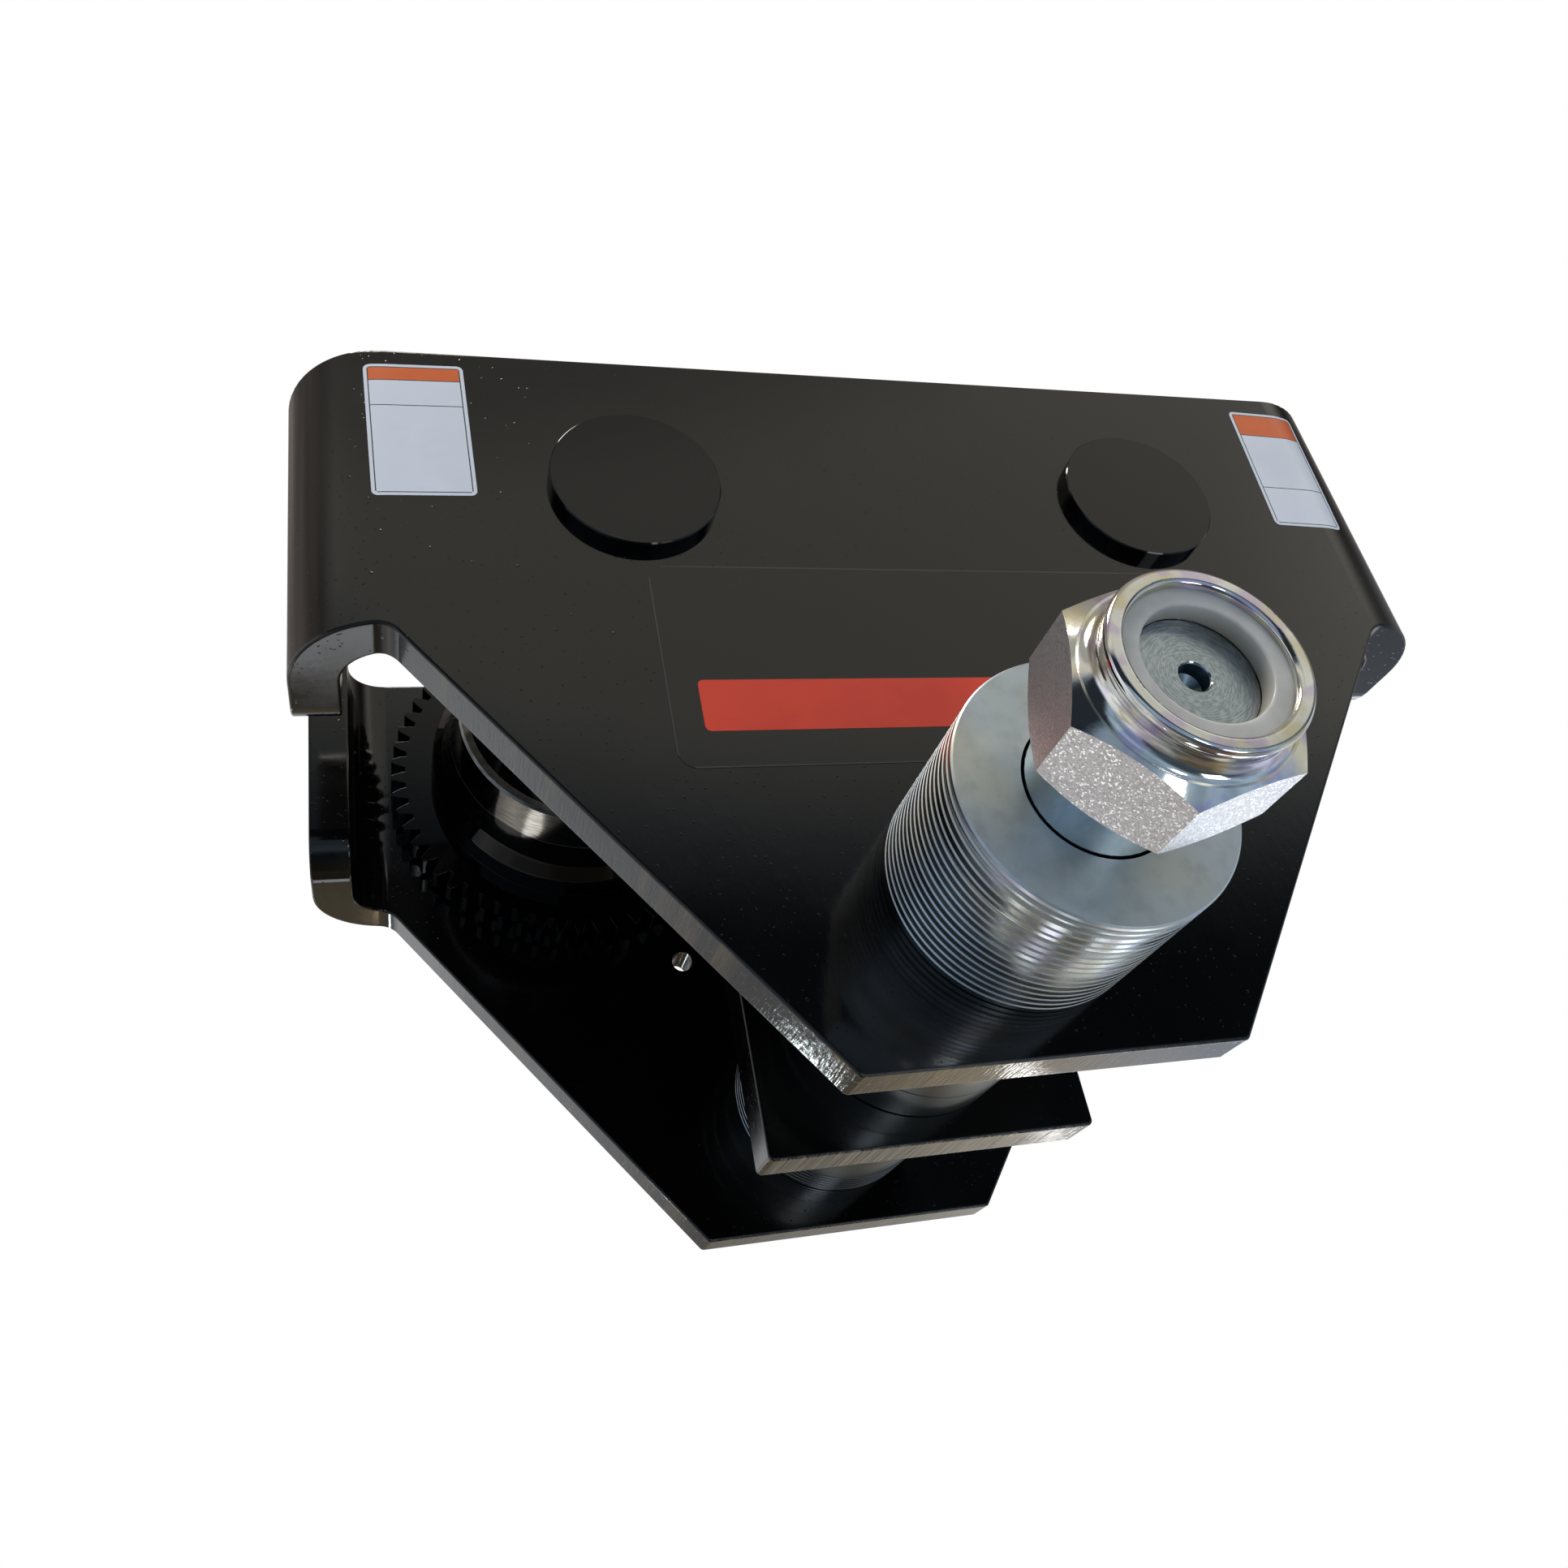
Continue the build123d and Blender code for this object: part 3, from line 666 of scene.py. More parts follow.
# Cast iron wheel dipped in black enamel; running on the beam has worn its tread to bright bare metal.
@dataclass(frozen=True)
class WheelIron(Finish):
    """Black enamel on cast iron with a bare tread."""

    colour: str = "#050505"
    bare: str = "#86847e"
    bare_shade: str = "#6b6863"
    bare_from_mm: float = 44.0
    bare_to_mm: float = 61.5
    bare_fade_mm: float = 0.8
    ragged: Pattern = Pattern(9.0, 3.0, depth_mm=1.2)
    streak: Pattern = Pattern(5.0, 3.0)
    streak_squeeze: float = 6.0
    tread_radius_mm: float = 57.0
    hub_radius_mm: float = 46.0
    skin: Pattern = Pattern(3.0, depth_mm=0.008)
    roughness: float = 0.06
    bare_roughness: float = 0.1
    edge_round_mm: float = 0.5
    shine: float = 0.3

    def wire(self, add: Adder) -> Wiring:
        """Wire the casting's skin and the bare band of the tread.

        Args:
            add: adds a node to the finish.

        Returns:
            Height in metres, and the shader's other inputs.
        """
        place = add(Kind.PLACE).outputs["Object"]
        radius = add(Kind.VECTOR, {0: self.spoke(add, place, "rear_right_wheel_spin")}, operation="LENGTH")
        along = add(Kind.SPLIT, {0: place}).outputs["Y"]
        reach = add(Kind.MATHS, {0: along}, operation="ABSOLUTE")
        inward = add(Kind.MATHS, {0: PLATE_INNER_MM * MM, 1: reach}, operation="SUBTRACT")
        uneven = add(Kind.NOISE, self.ragged.over(place))
        ragged = add(Kind.MATHS, {0: uneven, 1: self.ragged.depth, 2: inward}, operation="MULTIPLY_ADD")
        start = add(Kind.RANGE, {0: ragged, 1: self.bare_from_mm * MM,
                                 2: (self.bare_from_mm + self.bare_fade_mm) * MM}, **SMOOTH)
        stop = add(Kind.RANGE, {0: inward, 1: (self.bare_to_mm - self.bare_fade_mm) * MM,
                                2: self.bare_to_mm * MM, 3: 1.0, 4: 0.0}, **SMOOTH)
        worn = add(Kind.MATHS, {0: start, 1: stop}, operation="MULTIPLY")
        for limit, operation in ((self.hub_radius_mm, "GREATER_THAN"), (self.tread_radius_mm, "LESS_THAN")):
            ring = add(Kind.MATHS, {0: radius, 1: limit * MM}, operation=operation)
            worn = add(Kind.MATHS, {0: worn, 1: ring}, operation="MULTIPLY")
        drawn = add(Kind.MAPPING, {"Vector": place, "Scale": (1.0, self.streak_squeeze, 1.0)})
        metal = mottle(add, add(Kind.NOISE, self.streak.over(drawn)), self.streak, self.bare, self.bare_shade)
        tone = add(Kind.MIX, {0: worn, 6: self.colour, 7: metal}, **COLOUR)
        rough = add(Kind.RANGE, {0: worn, 3: self.roughness, 4: self.bare_roughness})
        skin = add(Kind.NOISE, self.skin.over(place))
        height = add(Kind.MATHS, {0: skin, 1: self.skin.depth}, operation="MULTIPLY")
        return height, {"Base Color": tone, "Metallic": worn, "Roughness": rough,
                        "Specular IOR Level": self.shine}


# Axle: bright turned steel inside, its head sprayed with the plate in the same wet black.
@dataclass(frozen=True)
class AxleSteel(Finish):
    """Turned steel with a painted head."""

    paint: str = "#060606"
    steel: str = "#a9abab"
    steel_shade: str = "#838585"
    streak: Pattern = Pattern(1.4, 3.0)
    peel: Pattern = Pattern(5.0, 1.0, depth_mm=0.009)
    roughness: float = 0.08
    steel_roughness: float = 0.28
    shine: float = 0.38

    def wire(self, add: Adder) -> Wiring:
        """Wire paint outside the plate's inner face and bare steel inside it.

        Args:
            add: adds a node to the finish.

        Returns:
            Height in metres, and the shader's other inputs.
        """
        place = add(Kind.PLACE).outputs["Object"]
        along = add(Kind.SPLIT, {0: place}).outputs["Y"]
        reach = add(Kind.MATHS, {0: along}, operation="ABSOLUTE")
        bare = add(Kind.MATHS, {0: reach, 1: PLATE_INNER_MM * MM}, operation="LESS_THAN")
        streak = add(Kind.NOISE, self.streak.over(place))
        metal = mottle(add, streak, self.streak, self.steel, self.steel_shade)
        tone = add(Kind.MIX, {0: bare, 6: self.paint, 7: metal}, **COLOUR)
        rough = add(Kind.RANGE, {0: bare, 3: self.roughness, 4: self.steel_roughness})
        peel = add(Kind.NOISE, self.peel.over(place))
        height = add(Kind.MATHS, {0: peel, 1: self.peel.depth}, operation="MULTIPLY")
        return height, {"Base Color": tone, "Metallic": bare, "Roughness": rough,
                        "Specular IOR Level": self.shine}


# Ground bearing steel with a black rubber seal pressed in between the races.
@dataclass(frozen=True)
class BearingSteel(Finish):
    """Ground steel race, dark rubber inside its seal radius."""

    steel: str = "#b4b7b9"
    rubber: str = "#141414"
    seal_outer_mm: float = 31.0
    haze: Pattern = Pattern(2.0, 3.0, depth_mm=0.004)
    roughness: Span = (0.15, 0.25)
    rubber_roughness: float = 0.55

    def wire(self, add: Adder) -> Wiring:
        """Wire steel outside the seal and rubber inside it.

        Args:
            add: adds a node to the finish.

        Returns:
            Height in metres, and the shader's other inputs.
        """
        place = add(Kind.PLACE).outputs["Object"]
        radius = add(Kind.VECTOR, {0: self.spoke(add, place, "rear_right_wheel_spin")}, operation="LENGTH")
        race = add(Kind.MATHS, {0: radius, 1: self.seal_outer_mm * MM}, operation="GREATER_THAN")
        tone = add(Kind.MIX, {0: race, 6: self.rubber, 7: self.steel}, **COLOUR)
        haze = add(Kind.NOISE, self.haze.over(place))
        ground = add(Kind.RANGE, dict(enumerate((haze, *HAZE, *self.roughness))), **SMOOTH)
        rough = add(Kind.MIX, {0: race, 2: self.rubber_roughness, 3: ground})
        height = add(Kind.MATHS, {0: haze, 1: self.haze.depth}, operation="MULTIPLY")
        return height, {"Base Color": tone, "Metallic": race, "Roughness": rough}


# Spring steel blackened in oil: a dark satin metal.
@dataclass(frozen=True)
class SpringSteel(Clouded):
    """Blackened spring steel."""

    colour: str = "#3a3a3b"
    shade: str = "#262627"
    cloud: Pattern = Pattern(1.5, 3.0, span=HAZE)
    fine: Pattern = Pattern(1.5, 3.0, depth_mm=0.006)
    roughness: Span = (0.26, 0.42)
    metallic: float = 1.0


# Cast vinyl film, printed and glued on: an even colour under a clear gloss, following the paint below.
@dataclass(frozen=True)
class VinylFilm(Clouded):
    """Printed vinyl film."""

    colour: str = "#e3e7f1"
    shade: str = "#dde1eb"
    cloud: Pattern = Pattern(16.0, 3.0)
    fine: Pattern = Pattern(6.0, 1.0, depth_mm=0.004)
    roughness: Span = (0.17, 0.24)


def deselect() -> None:
    """Leave object mode with nothing selected."""
    if bpy.context.object and bpy.context.object.mode != "OBJECT":
        bpy.ops.object.mode_set(mode="OBJECT")
    bpy.ops.object.select_all(action="DESELECT")


def pick(piece: bpy.types.Object) -> None:
    """Select one piece alone and make it active.

    Args:
        piece: the piece to select.
    """
    deselect()
    piece.select_set(True)
    bpy.context.view_layer.objects.active = piece


@contextmanager
def editing(piece: bpy.types.Object, choose: str = "FACE") -> Iterator[bmesh.types.BMesh]:
    """Open a piece in edit mode.

    Args:
        piece: the piece to edit.
        choose: what is selected, FACE, EDGE or VERT.

    Returns:
        Its mesh, for choosing faces and edges.
    """
    pick(piece)
    bpy.ops.object.mode_set(mode="EDIT")
    bpy.ops.mesh.select_mode(type=choose)
    yield bmesh.from_edit_mesh(piece.data)
    bpy.ops.object.mode_set(mode="OBJECT")


def apply_place(piece: bpy.types.Object) -> None:
    """Move a piece's place, turn and size into its mesh."""
    pick(piece)
    bpy.ops.object.transform_apply(location=True, rotation=True, scale=True)


def apply_modifier(piece: bpy.types.Object, kind: str, **settings: Any) -> None:
    """Add a modifier to a piece and apply it.

    Args:
        piece: piece that is changed.
        kind: type of the modifier.
        settings: its properties.
    """
    pick(piece)
    modifier = piece.modifiers.new(kind.lower(), kind)
    for name, value in settings.items():
        setattr(modifier, name, value)
    bpy.ops.object.modifier_apply(modifier=modifier.name)


def hand_over(piece: bpy.types.Object, name: str, body: Body,
              materials: list[bpy.types.Material]) -> None:
    """Name a finished piece, dress it and let it ride on its body.

    Args:
        piece: the finished piece.
        name: its name.
        body: body that carries it.
        materials: its materials, in the order of its faces' numbers.
    """
    piece.name = name
    piece.data.name = name
    for material in materials:
        piece.data.materials.append(material)
    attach(piece, body.value)
    log.info("piece %s on %s, %d faces", name, body.value, len(piece.data.polygons))


def dress(node: str, material: bpy.types.Material) -> None:
    """Give a solid its finish.

    Args:
        node: name of the solid.
        material: the finish.
    """
    mesh = frame["nodes"][node].data
    mesh.materials.clear()
    mesh.materials.append(material)
    log.info("dressed %s with %s", node, material.name)


class Ink(Enum):
    """Numbers of a film's materials: its ground, its lines and its header."""

    GROUND = 0
    LINE = 1
    HEADER = 2


@dataclass
class Film:
    """A thin film on the front plate with rounded corners and, where it has them, printed lines."""

    name: str
    left_mm: float
    right_mm: float
    bottom_mm: float
    top_mm: float
    corner_mm: float
    materials: list[bpy.types.Material]
    margin_mm: float = 0.0
    line_mm: float = 0.0
    header_mm: float = 0.0
    rules_mm: tuple[float, ...] = ()
    tilt_deg: float = 0.0
    film_mm: float = 0.12
    lift_mm: float = 0.02
    strip_mm: float = 2.0
    corner_steps: int = 6
    stand_off_mm: float = 5.0
    frame_share: float = 0.9

    def build(self) -> None:
        """Model the film on the front plate."""
        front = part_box("front_side_plate")[0].y
        middle = Vector(((self.left_mm + self.right_mm) / 2 * MM, front - self.stand_off_mm * MM,
                         (self.bottom_mm + self.top_mm) / 2 * MM))
        deselect()
        bpy.ops.mesh.primitive_plane_add(size=1.0, location=middle, rotation=(math.pi / 2, 0.0, 0.0))
        piece = bpy.context.object
        piece.scale = ((self.right_mm - self.left_mm) * MM, (self.top_mm - self.bottom_mm) * MM, 1.0)
        apply_place(piece)
        with editing(piece):
            bpy.ops.mesh.select_all(action="SELECT")
            bpy.ops.mesh.bevel(offset=self.corner_mm * MM, segments=self.corner_steps, affect="VERTICES")
        if self.line_mm:
            self.print_lines(piece)
        turn = Matrix.Rotation(math.radians(self.tilt_deg), 4, "Y")
        piece.matrix_world = Matrix.Translation(middle) @ turn @ Matrix.Translation(-middle)
        apply_place(piece)
        self.lay(piece)
        hand_over(piece, self.name, Body.FRONT, self.materials)

    def print_lines(self, piece: bpy.types.Object) -> None:
        """Part the film into margin, line, header and field by insets and cuts.

        Args:
            piece: the film, still flat.
        """
        with editing(piece) as mesh:
            bpy.ops.mesh.select_all(action="SELECT")
            bpy.ops.mesh.inset(thickness=self.margin_mm * MM, depth=0.0)
            bpy.ops.mesh.inset(thickness=self.line_mm * MM, depth=0.0)
            inner = self.top_mm - self.margin_mm - self.line_mm
            edges = [inner - self.header_mm, *(inner - rule for rule in self.rules_mm)]
            cuts = [h for edge in edges for h in (edge, edge - self.line_mm)] if self.header_mm else []
            for cut in cuts:
                for face in mesh.faces:
                    face.select_set(self.inset_of(face) > self.frame_edge)
                bpy.ops.mesh.bisect(plane_co=(0.0, 0.0, cut * MM), plane_no=(0.0, 0.0, 1.0))
            for face in mesh.faces:
                face.material_index = self.ink(face, cuts).value

    @property
    def frame_edge(self) -> float:
        """Inset that parts the frame line's faces from the field's, in millimetres."""
        return self.margin_mm + self.line_mm * self.frame_share

    def inset_of(self, face: bmesh.types.BMFace) -> float:
        """Distance of a face's middle from the nearest side of the film, in millimetres."""
        at = face.calc_center_median() / MM
        return min(at.x - self.left_mm, self.right_mm - at.x, self.top_mm - at.z, at.z - self.bottom_mm)

    def ink(self, face: bmesh.types.BMFace, cuts: list[float]) -> Ink:
        """Choose what is printed on a face by its place.

        Args:
            face: face of the film before it is laid.
            cuts: heights where the field is cut, in pairs, in millimetres.

        Returns:
            Which of the film's materials it takes.
        """
        inset = self.inset_of(face)
        height = face.calc_center_median().z / MM
        if inset < self.margin_mm:
            return Ink.GROUND
        if inset < self.frame_edge or any(low < height < high for high, low in zip(cuts[::2], cuts[1::2])):
            return Ink.LINE
        return Ink.HEADER if cuts and height > cuts[0] else Ink.GROUND

    def lay(self, piece: bpy.types.Object) -> None:
        """Press the film onto the plate in narrow strips and give it its thickness.

        Args:
            piece: the film in front of the plate.
        """
        strips = int((self.right_mm - self.left_mm) / self.strip_mm)
        with editing(piece):
            for strip in range(-1, strips + 2):
                bpy.ops.mesh.select_all(action="SELECT")
                bpy.ops.mesh.bisect(plane_co=((self.left_mm + strip * self.strip_mm) * MM, 0.0, 0.0),
                                    plane_no=(1.0, 0.0, 0.0))
        apply_modifier(piece, "SHRINKWRAP", target=frame["nodes"]["front_side_plate"],
                       wrap_method="PROJECT", use_project_y=True, use_negative_direction=False,
                       use_positive_direction=True, offset=self.lift_mm * MM)
        apply_modifier(piece, "SOLIDIFY", thickness=self.film_mm * MM, offset=1.0)


@dataclass
class SidePlates:
    """Both bent side plates, their drive holes' threads and the films on the front one."""

    plate_mm: float = 15.0
    thread_pitch_mm: float = 1.5
    thread_depth_mm: float = 0.45
    thread_steps: int = 24
    weld_m: float = 1e-6
    hole_radius_mm: float = 4.25
    hole_spacing_mm: float = 102.0
    hole_height_mm: float = 112.0

    def build(self) -> None:
        """Dress the plates and add what is glued on or cut into them."""
        enamel = BlackEnamel("black_enamel_plate").make()
        for side in ("front", "rear"):
            dress(f"{side}_side_plate", enamel)
        self.films()
        self.threads(BlackEnamel("black_enamel_thread", edges=CutEdges.SAWN_ENDS, roughness=(0.42, 0.84),
                                 edge_roughness=0.6, shine=0.08).make())

    def films(self) -> None:
        """Add the black face film, its red band and the two blank labels."""
        white = VinylFilm("white_vinyl").make()
        black_line = VinylFilm("black_print", colour="#2a2a2c", shade="#303032").make()
        orange = VinylFilm("orange_print", colour="#e2672b", shade="#db6127").make()
        black = VinylFilm("black_vinyl", colour="#080808", shade="#0a0a0a", roughness=(0.0425, 0.06)).make()
        grey_line = VinylFilm("grey_print", colour="#343434", shade="#3c3c3c").make()
        red = VinylFilm("red_vinyl", colour="#e43d27", shade="#dd3924", roughness=(0.0765, 0.108)).make()
        Film("face_film", left_mm=-90.5, right_mm=90.5, bottom_mm=91.4, top_mm=164.0, corner_mm=6.0,
             materials=[black, grey_line], margin_mm=0.01, line_mm=0.5).build()
        Film("face_band", left_mm=-81.0, right_mm=81.0, bottom_mm=103.6, top_mm=121.3, corner_mm=1.8,
             materials=[red], lift_mm=0.15, film_mm=0.06).build()
        label = partial(Film, corner_mm=2.0, margin_mm=1.1, line_mm=0.35,
                        materials=[white, black_line, orange])
        label("left_label", left_mm=-171.1, right_mm=-139.9, bottom_mm=189.8, top_mm=245.4,
              header_mm=5.4, rules_mm=(16.5,), tilt_deg=-1.5).build()
        label("right_label", left_mm=147.0, right_mm=175.4, bottom_mm=187.0, top_mm=244.0,
              header_mm=10.4, rules_mm=(37.0,), tilt_deg=2.5).build()

    def threads(self, enamel: bpy.types.Material) -> None:
        """Model one thread ridge for the tapped holes and copy it.

        Args:
            enamel: finish of the ridges.
        """
        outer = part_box("rear_side_plate")[1].y
        inner = outer - self.plate_mm * MM
        pitch = self.thread_pitch_mm * MM
        turns = int((outer - inner) / pitch) - 1
        deselect()
        bpy.ops.mesh.primitive_circle_add(vertices=3, radius=self.thread_depth_mm * MM, fill_type="NOTHING",
                                          location=(self.hole_radius_mm * MM, 0.0, 0.0),
                                          rotation=(math.pi / 2, 0.0, -math.pi / 2))
        ridge = bpy.context.object
        apply_place(ridge)
        apply_modifier(ridge, "SCREW", axis="Z", iterations=turns, steps=self.thread_steps,
                       render_steps=self.thread_steps, screw_offset=pitch, use_smooth_shade=True)
        with editing(ridge, choose="EDGE"):
            bpy.ops.mesh.select_all(action="SELECT")
            bpy.ops.mesh.remove_doubles(threshold=self.weld_m)
            bpy.ops.mesh.select_all(action="DESELECT")
            bpy.ops.mesh.select_non_manifold(extend=False)
            bpy.ops.mesh.edge_face_add()
            bpy.ops.mesh.select_all(action="SELECT")
            bpy.ops.mesh.normals_make_consistent(inside=False)
        twin = ridge.copy()
        twin.data = ridge.data.copy()
        bpy.context.scene.collection.objects.link(twin)
        for thread, side, end in ((ridge, -1, "left"), (twin, 1, "right")):
            thread.matrix_world = Matrix.Translation(
                (side * self.hole_spacing_mm / 2 * MM, inner + pitch, self.hole_height_mm * MM)
            ) @ Matrix.Rotation(-math.pi / 2, 4, "X")
            apply_place(thread)
            hand_over(thread, f"drive_hole_thread_{end}", Body.REAR, [enamel])


@dataclass
class HangerShaft:
    """Shaft, lock nuts with their nylon rings, washers and spacers, and the hanger plate."""

    washer_mm: float = 3.0
    saw_turn_deg: float = 38.0

    def build(self) -> None:
        """Dress the pieces on the shaft."""
        sawn = BlackEnamel("black_enamel_hanger", edges=CutEdges.SAWN_ENDS, groove_turn_deg=self.saw_turn_deg,
                           groove=Pattern(1.2, 3.0, depth_mm=0.12), groove_run_mm=40.0, edge_colour="#0d0c0a",
                           scuff_colour="#7a6f5a", scuff=Pattern(1.7, 6.0, span=(0.45, 0.68)),
                           edge_roughness=0.14, roughness=(0.084, 0.168))
        dress("hanger_plate", sawn.make())
        dress("hanger_shaft", TurnedShaft("turned_zinc_steel").make())
        washers = PressedZinc("pressed_zinc_washers", sheet_mm=self.washer_mm).make()
        # Painted shade: the inner spacers and inner washers between the plates are darker copies of the zinc,
        # also rougher
        spacers = BrightZinc("dull_zinc_spacers", colour="#7b8084", shade="#86857c",
                             roughness=(0.289, 0.408)).make()
        satin = BrightZinc("satin_zinc_washers", colour="#8f969b", shade="#97958a",
                           roughness=(0.221, 0.312)).make()
        nut = NutZinc("forged_zinc_nut").make()
        nylon = NaturalNylon("natural_nylon").make()
        for side in ("front", "rear"):
            dress(f"{side}_outer_washers", washers)
            dress(f"{side}_inner_washers", satin)
            dress(f"{side}_inner_spacers", spacers)
            dress(f"{side}_lock_nut", nut)
            dress(f"{side}_nylon_insert", nylon)


@dataclass
class WheelSets:
    """The four wheels with their axles, bearings and circlips."""

    corners: tuple[str, ...] = ("front_left", "front_right", "rear_left", "rear_right")

    def build(self) -> None:
        """Dress every piece of the four wheels."""
        zinc = BrightZinc("turned_zinc_sleeve").make()
        spring = SpringSteel("blackened_spring_steel").make()
        finishes = {
            "wheel": WheelIron("enamelled_cast_iron").make(),
            "axle": AxleSteel("axle_painted_head").make(),
            "axle_spacer": zinc,
            "bearing_inner_rings": BearingSteel("bearing_inner_race", seal_outer_mm=0.0).make(),
            "bearing_outer_rings": BearingSteel("sealed_bearing_steel").make(),
            "bearing_sleeve": zinc,
            "axle_circlip": spring,
            "wheel_circlip": spring,
        }
        for corner in self.corners:
            for name, material in finishes.items():
                dress(f"{corner}_{name}", material)


@dataclass(frozen=True)
class Lamp:
    """A square soft lamp, out of the camera's sight: the way to it, its side, brightness and distance."""

    name: str
    towards: tuple[float, float, float]
    side: float
    brightness: float
    colour: str = "#ffffff"
    distance: float = 5.0

    def build(self, middle: Vector) -> None:
        """Hang the lamp and point it at the trolley.

        Args:
            middle: point that the lamp is hung from and faces.
        """
        data = bpy.data.lights.new(self.name, "AREA")
        data.size = self.side
        data.energy = self.brightness * math.pi * self.side ** 2
        data.color = linear(self.colour)[:3]
        lamp = bpy.data.objects.new(self.name, data)
        bpy.context.scene.collection.objects.link(lamp)
        away = Vector(self.towards).normalized()
        lamp.location = middle + away * self.distance
        lamp.rotation_mode = "QUATERNION"
        lamp.rotation_quaternion = away.to_track_quat("Z", "Y")
        lamp.visible_camera = False


class Part(Enum):
    """What a step of the surround goes by: parts of the unit vector towards it, or soft noise."""

    ACROSS = "across"
    ASIDE = "aside"
    DEPTH = "depth"
    RISE = "rise"
    SLOPE = "slope"
    NOISE = "noise"


class Tint(Enum):
    """Colours of the surround."""

    BAND = "#a9c4e0"
    WALL = "#fbf8ec"
    REAR = "#eedcba"
    RIGHT = "#dfe8f8"
    LEFT = "#efecea"
    LEVEL = "#f2f5f9"
    DUSK = "#f0d9c6"
    PAPER = "#ffffff"


# Soft steps of the surround: what each goes by, the span it is read over and what the span's ends give
STEPS = {
    "shapes": (Part.NOISE, 0.38, 0.62, 0.65, 1.15),
    "ahead": (Part.DEPTH, -0.1, -0.4, 0.0, 1.0),
    "wall": (Part.ACROSS, 0.57, 0.68, 0.76, 1.1),
    "lit": (Part.SLOPE, 0.435, 0.595, 0.06, 1.0),
    "shade": (Part.RISE, 0.66, 0.74, 1.0, 0.58),
    "tables": (Part.RISE, 0.16, 0.02, 0.0, 0.75),
    "beneath": (Part.RISE, -0.72, -0.5, 0.12, 1.0),
    "low": (Part.RISE, -0.68, -0.42, 0.42, 0.85),
    "high": (Part.RISE, -0.1, 0.25, 0.0, 0.15),
    "gap": (Part.ASIDE, 0.22, 0.5, 0.45, 1.0),
    "above": (Part.RISE, -0.3, -0.05, 0.0, 1.0),
    "dusk": (Part.RISE, 0.4, 0.62, 0.0, 0.65),
    "corner": (Part.ACROSS, 0.68, 0.85, 0.0, 0.75),
    "raised": (Part.RISE, 0.05, 0.3, 0.0, 1.0),
    "right": (Part.ACROSS, 0.42, 0.58, 0.0, 1.0),
    "left": (Part.ACROSS, -0.05, -0.35, 0.0, 1.0),
}


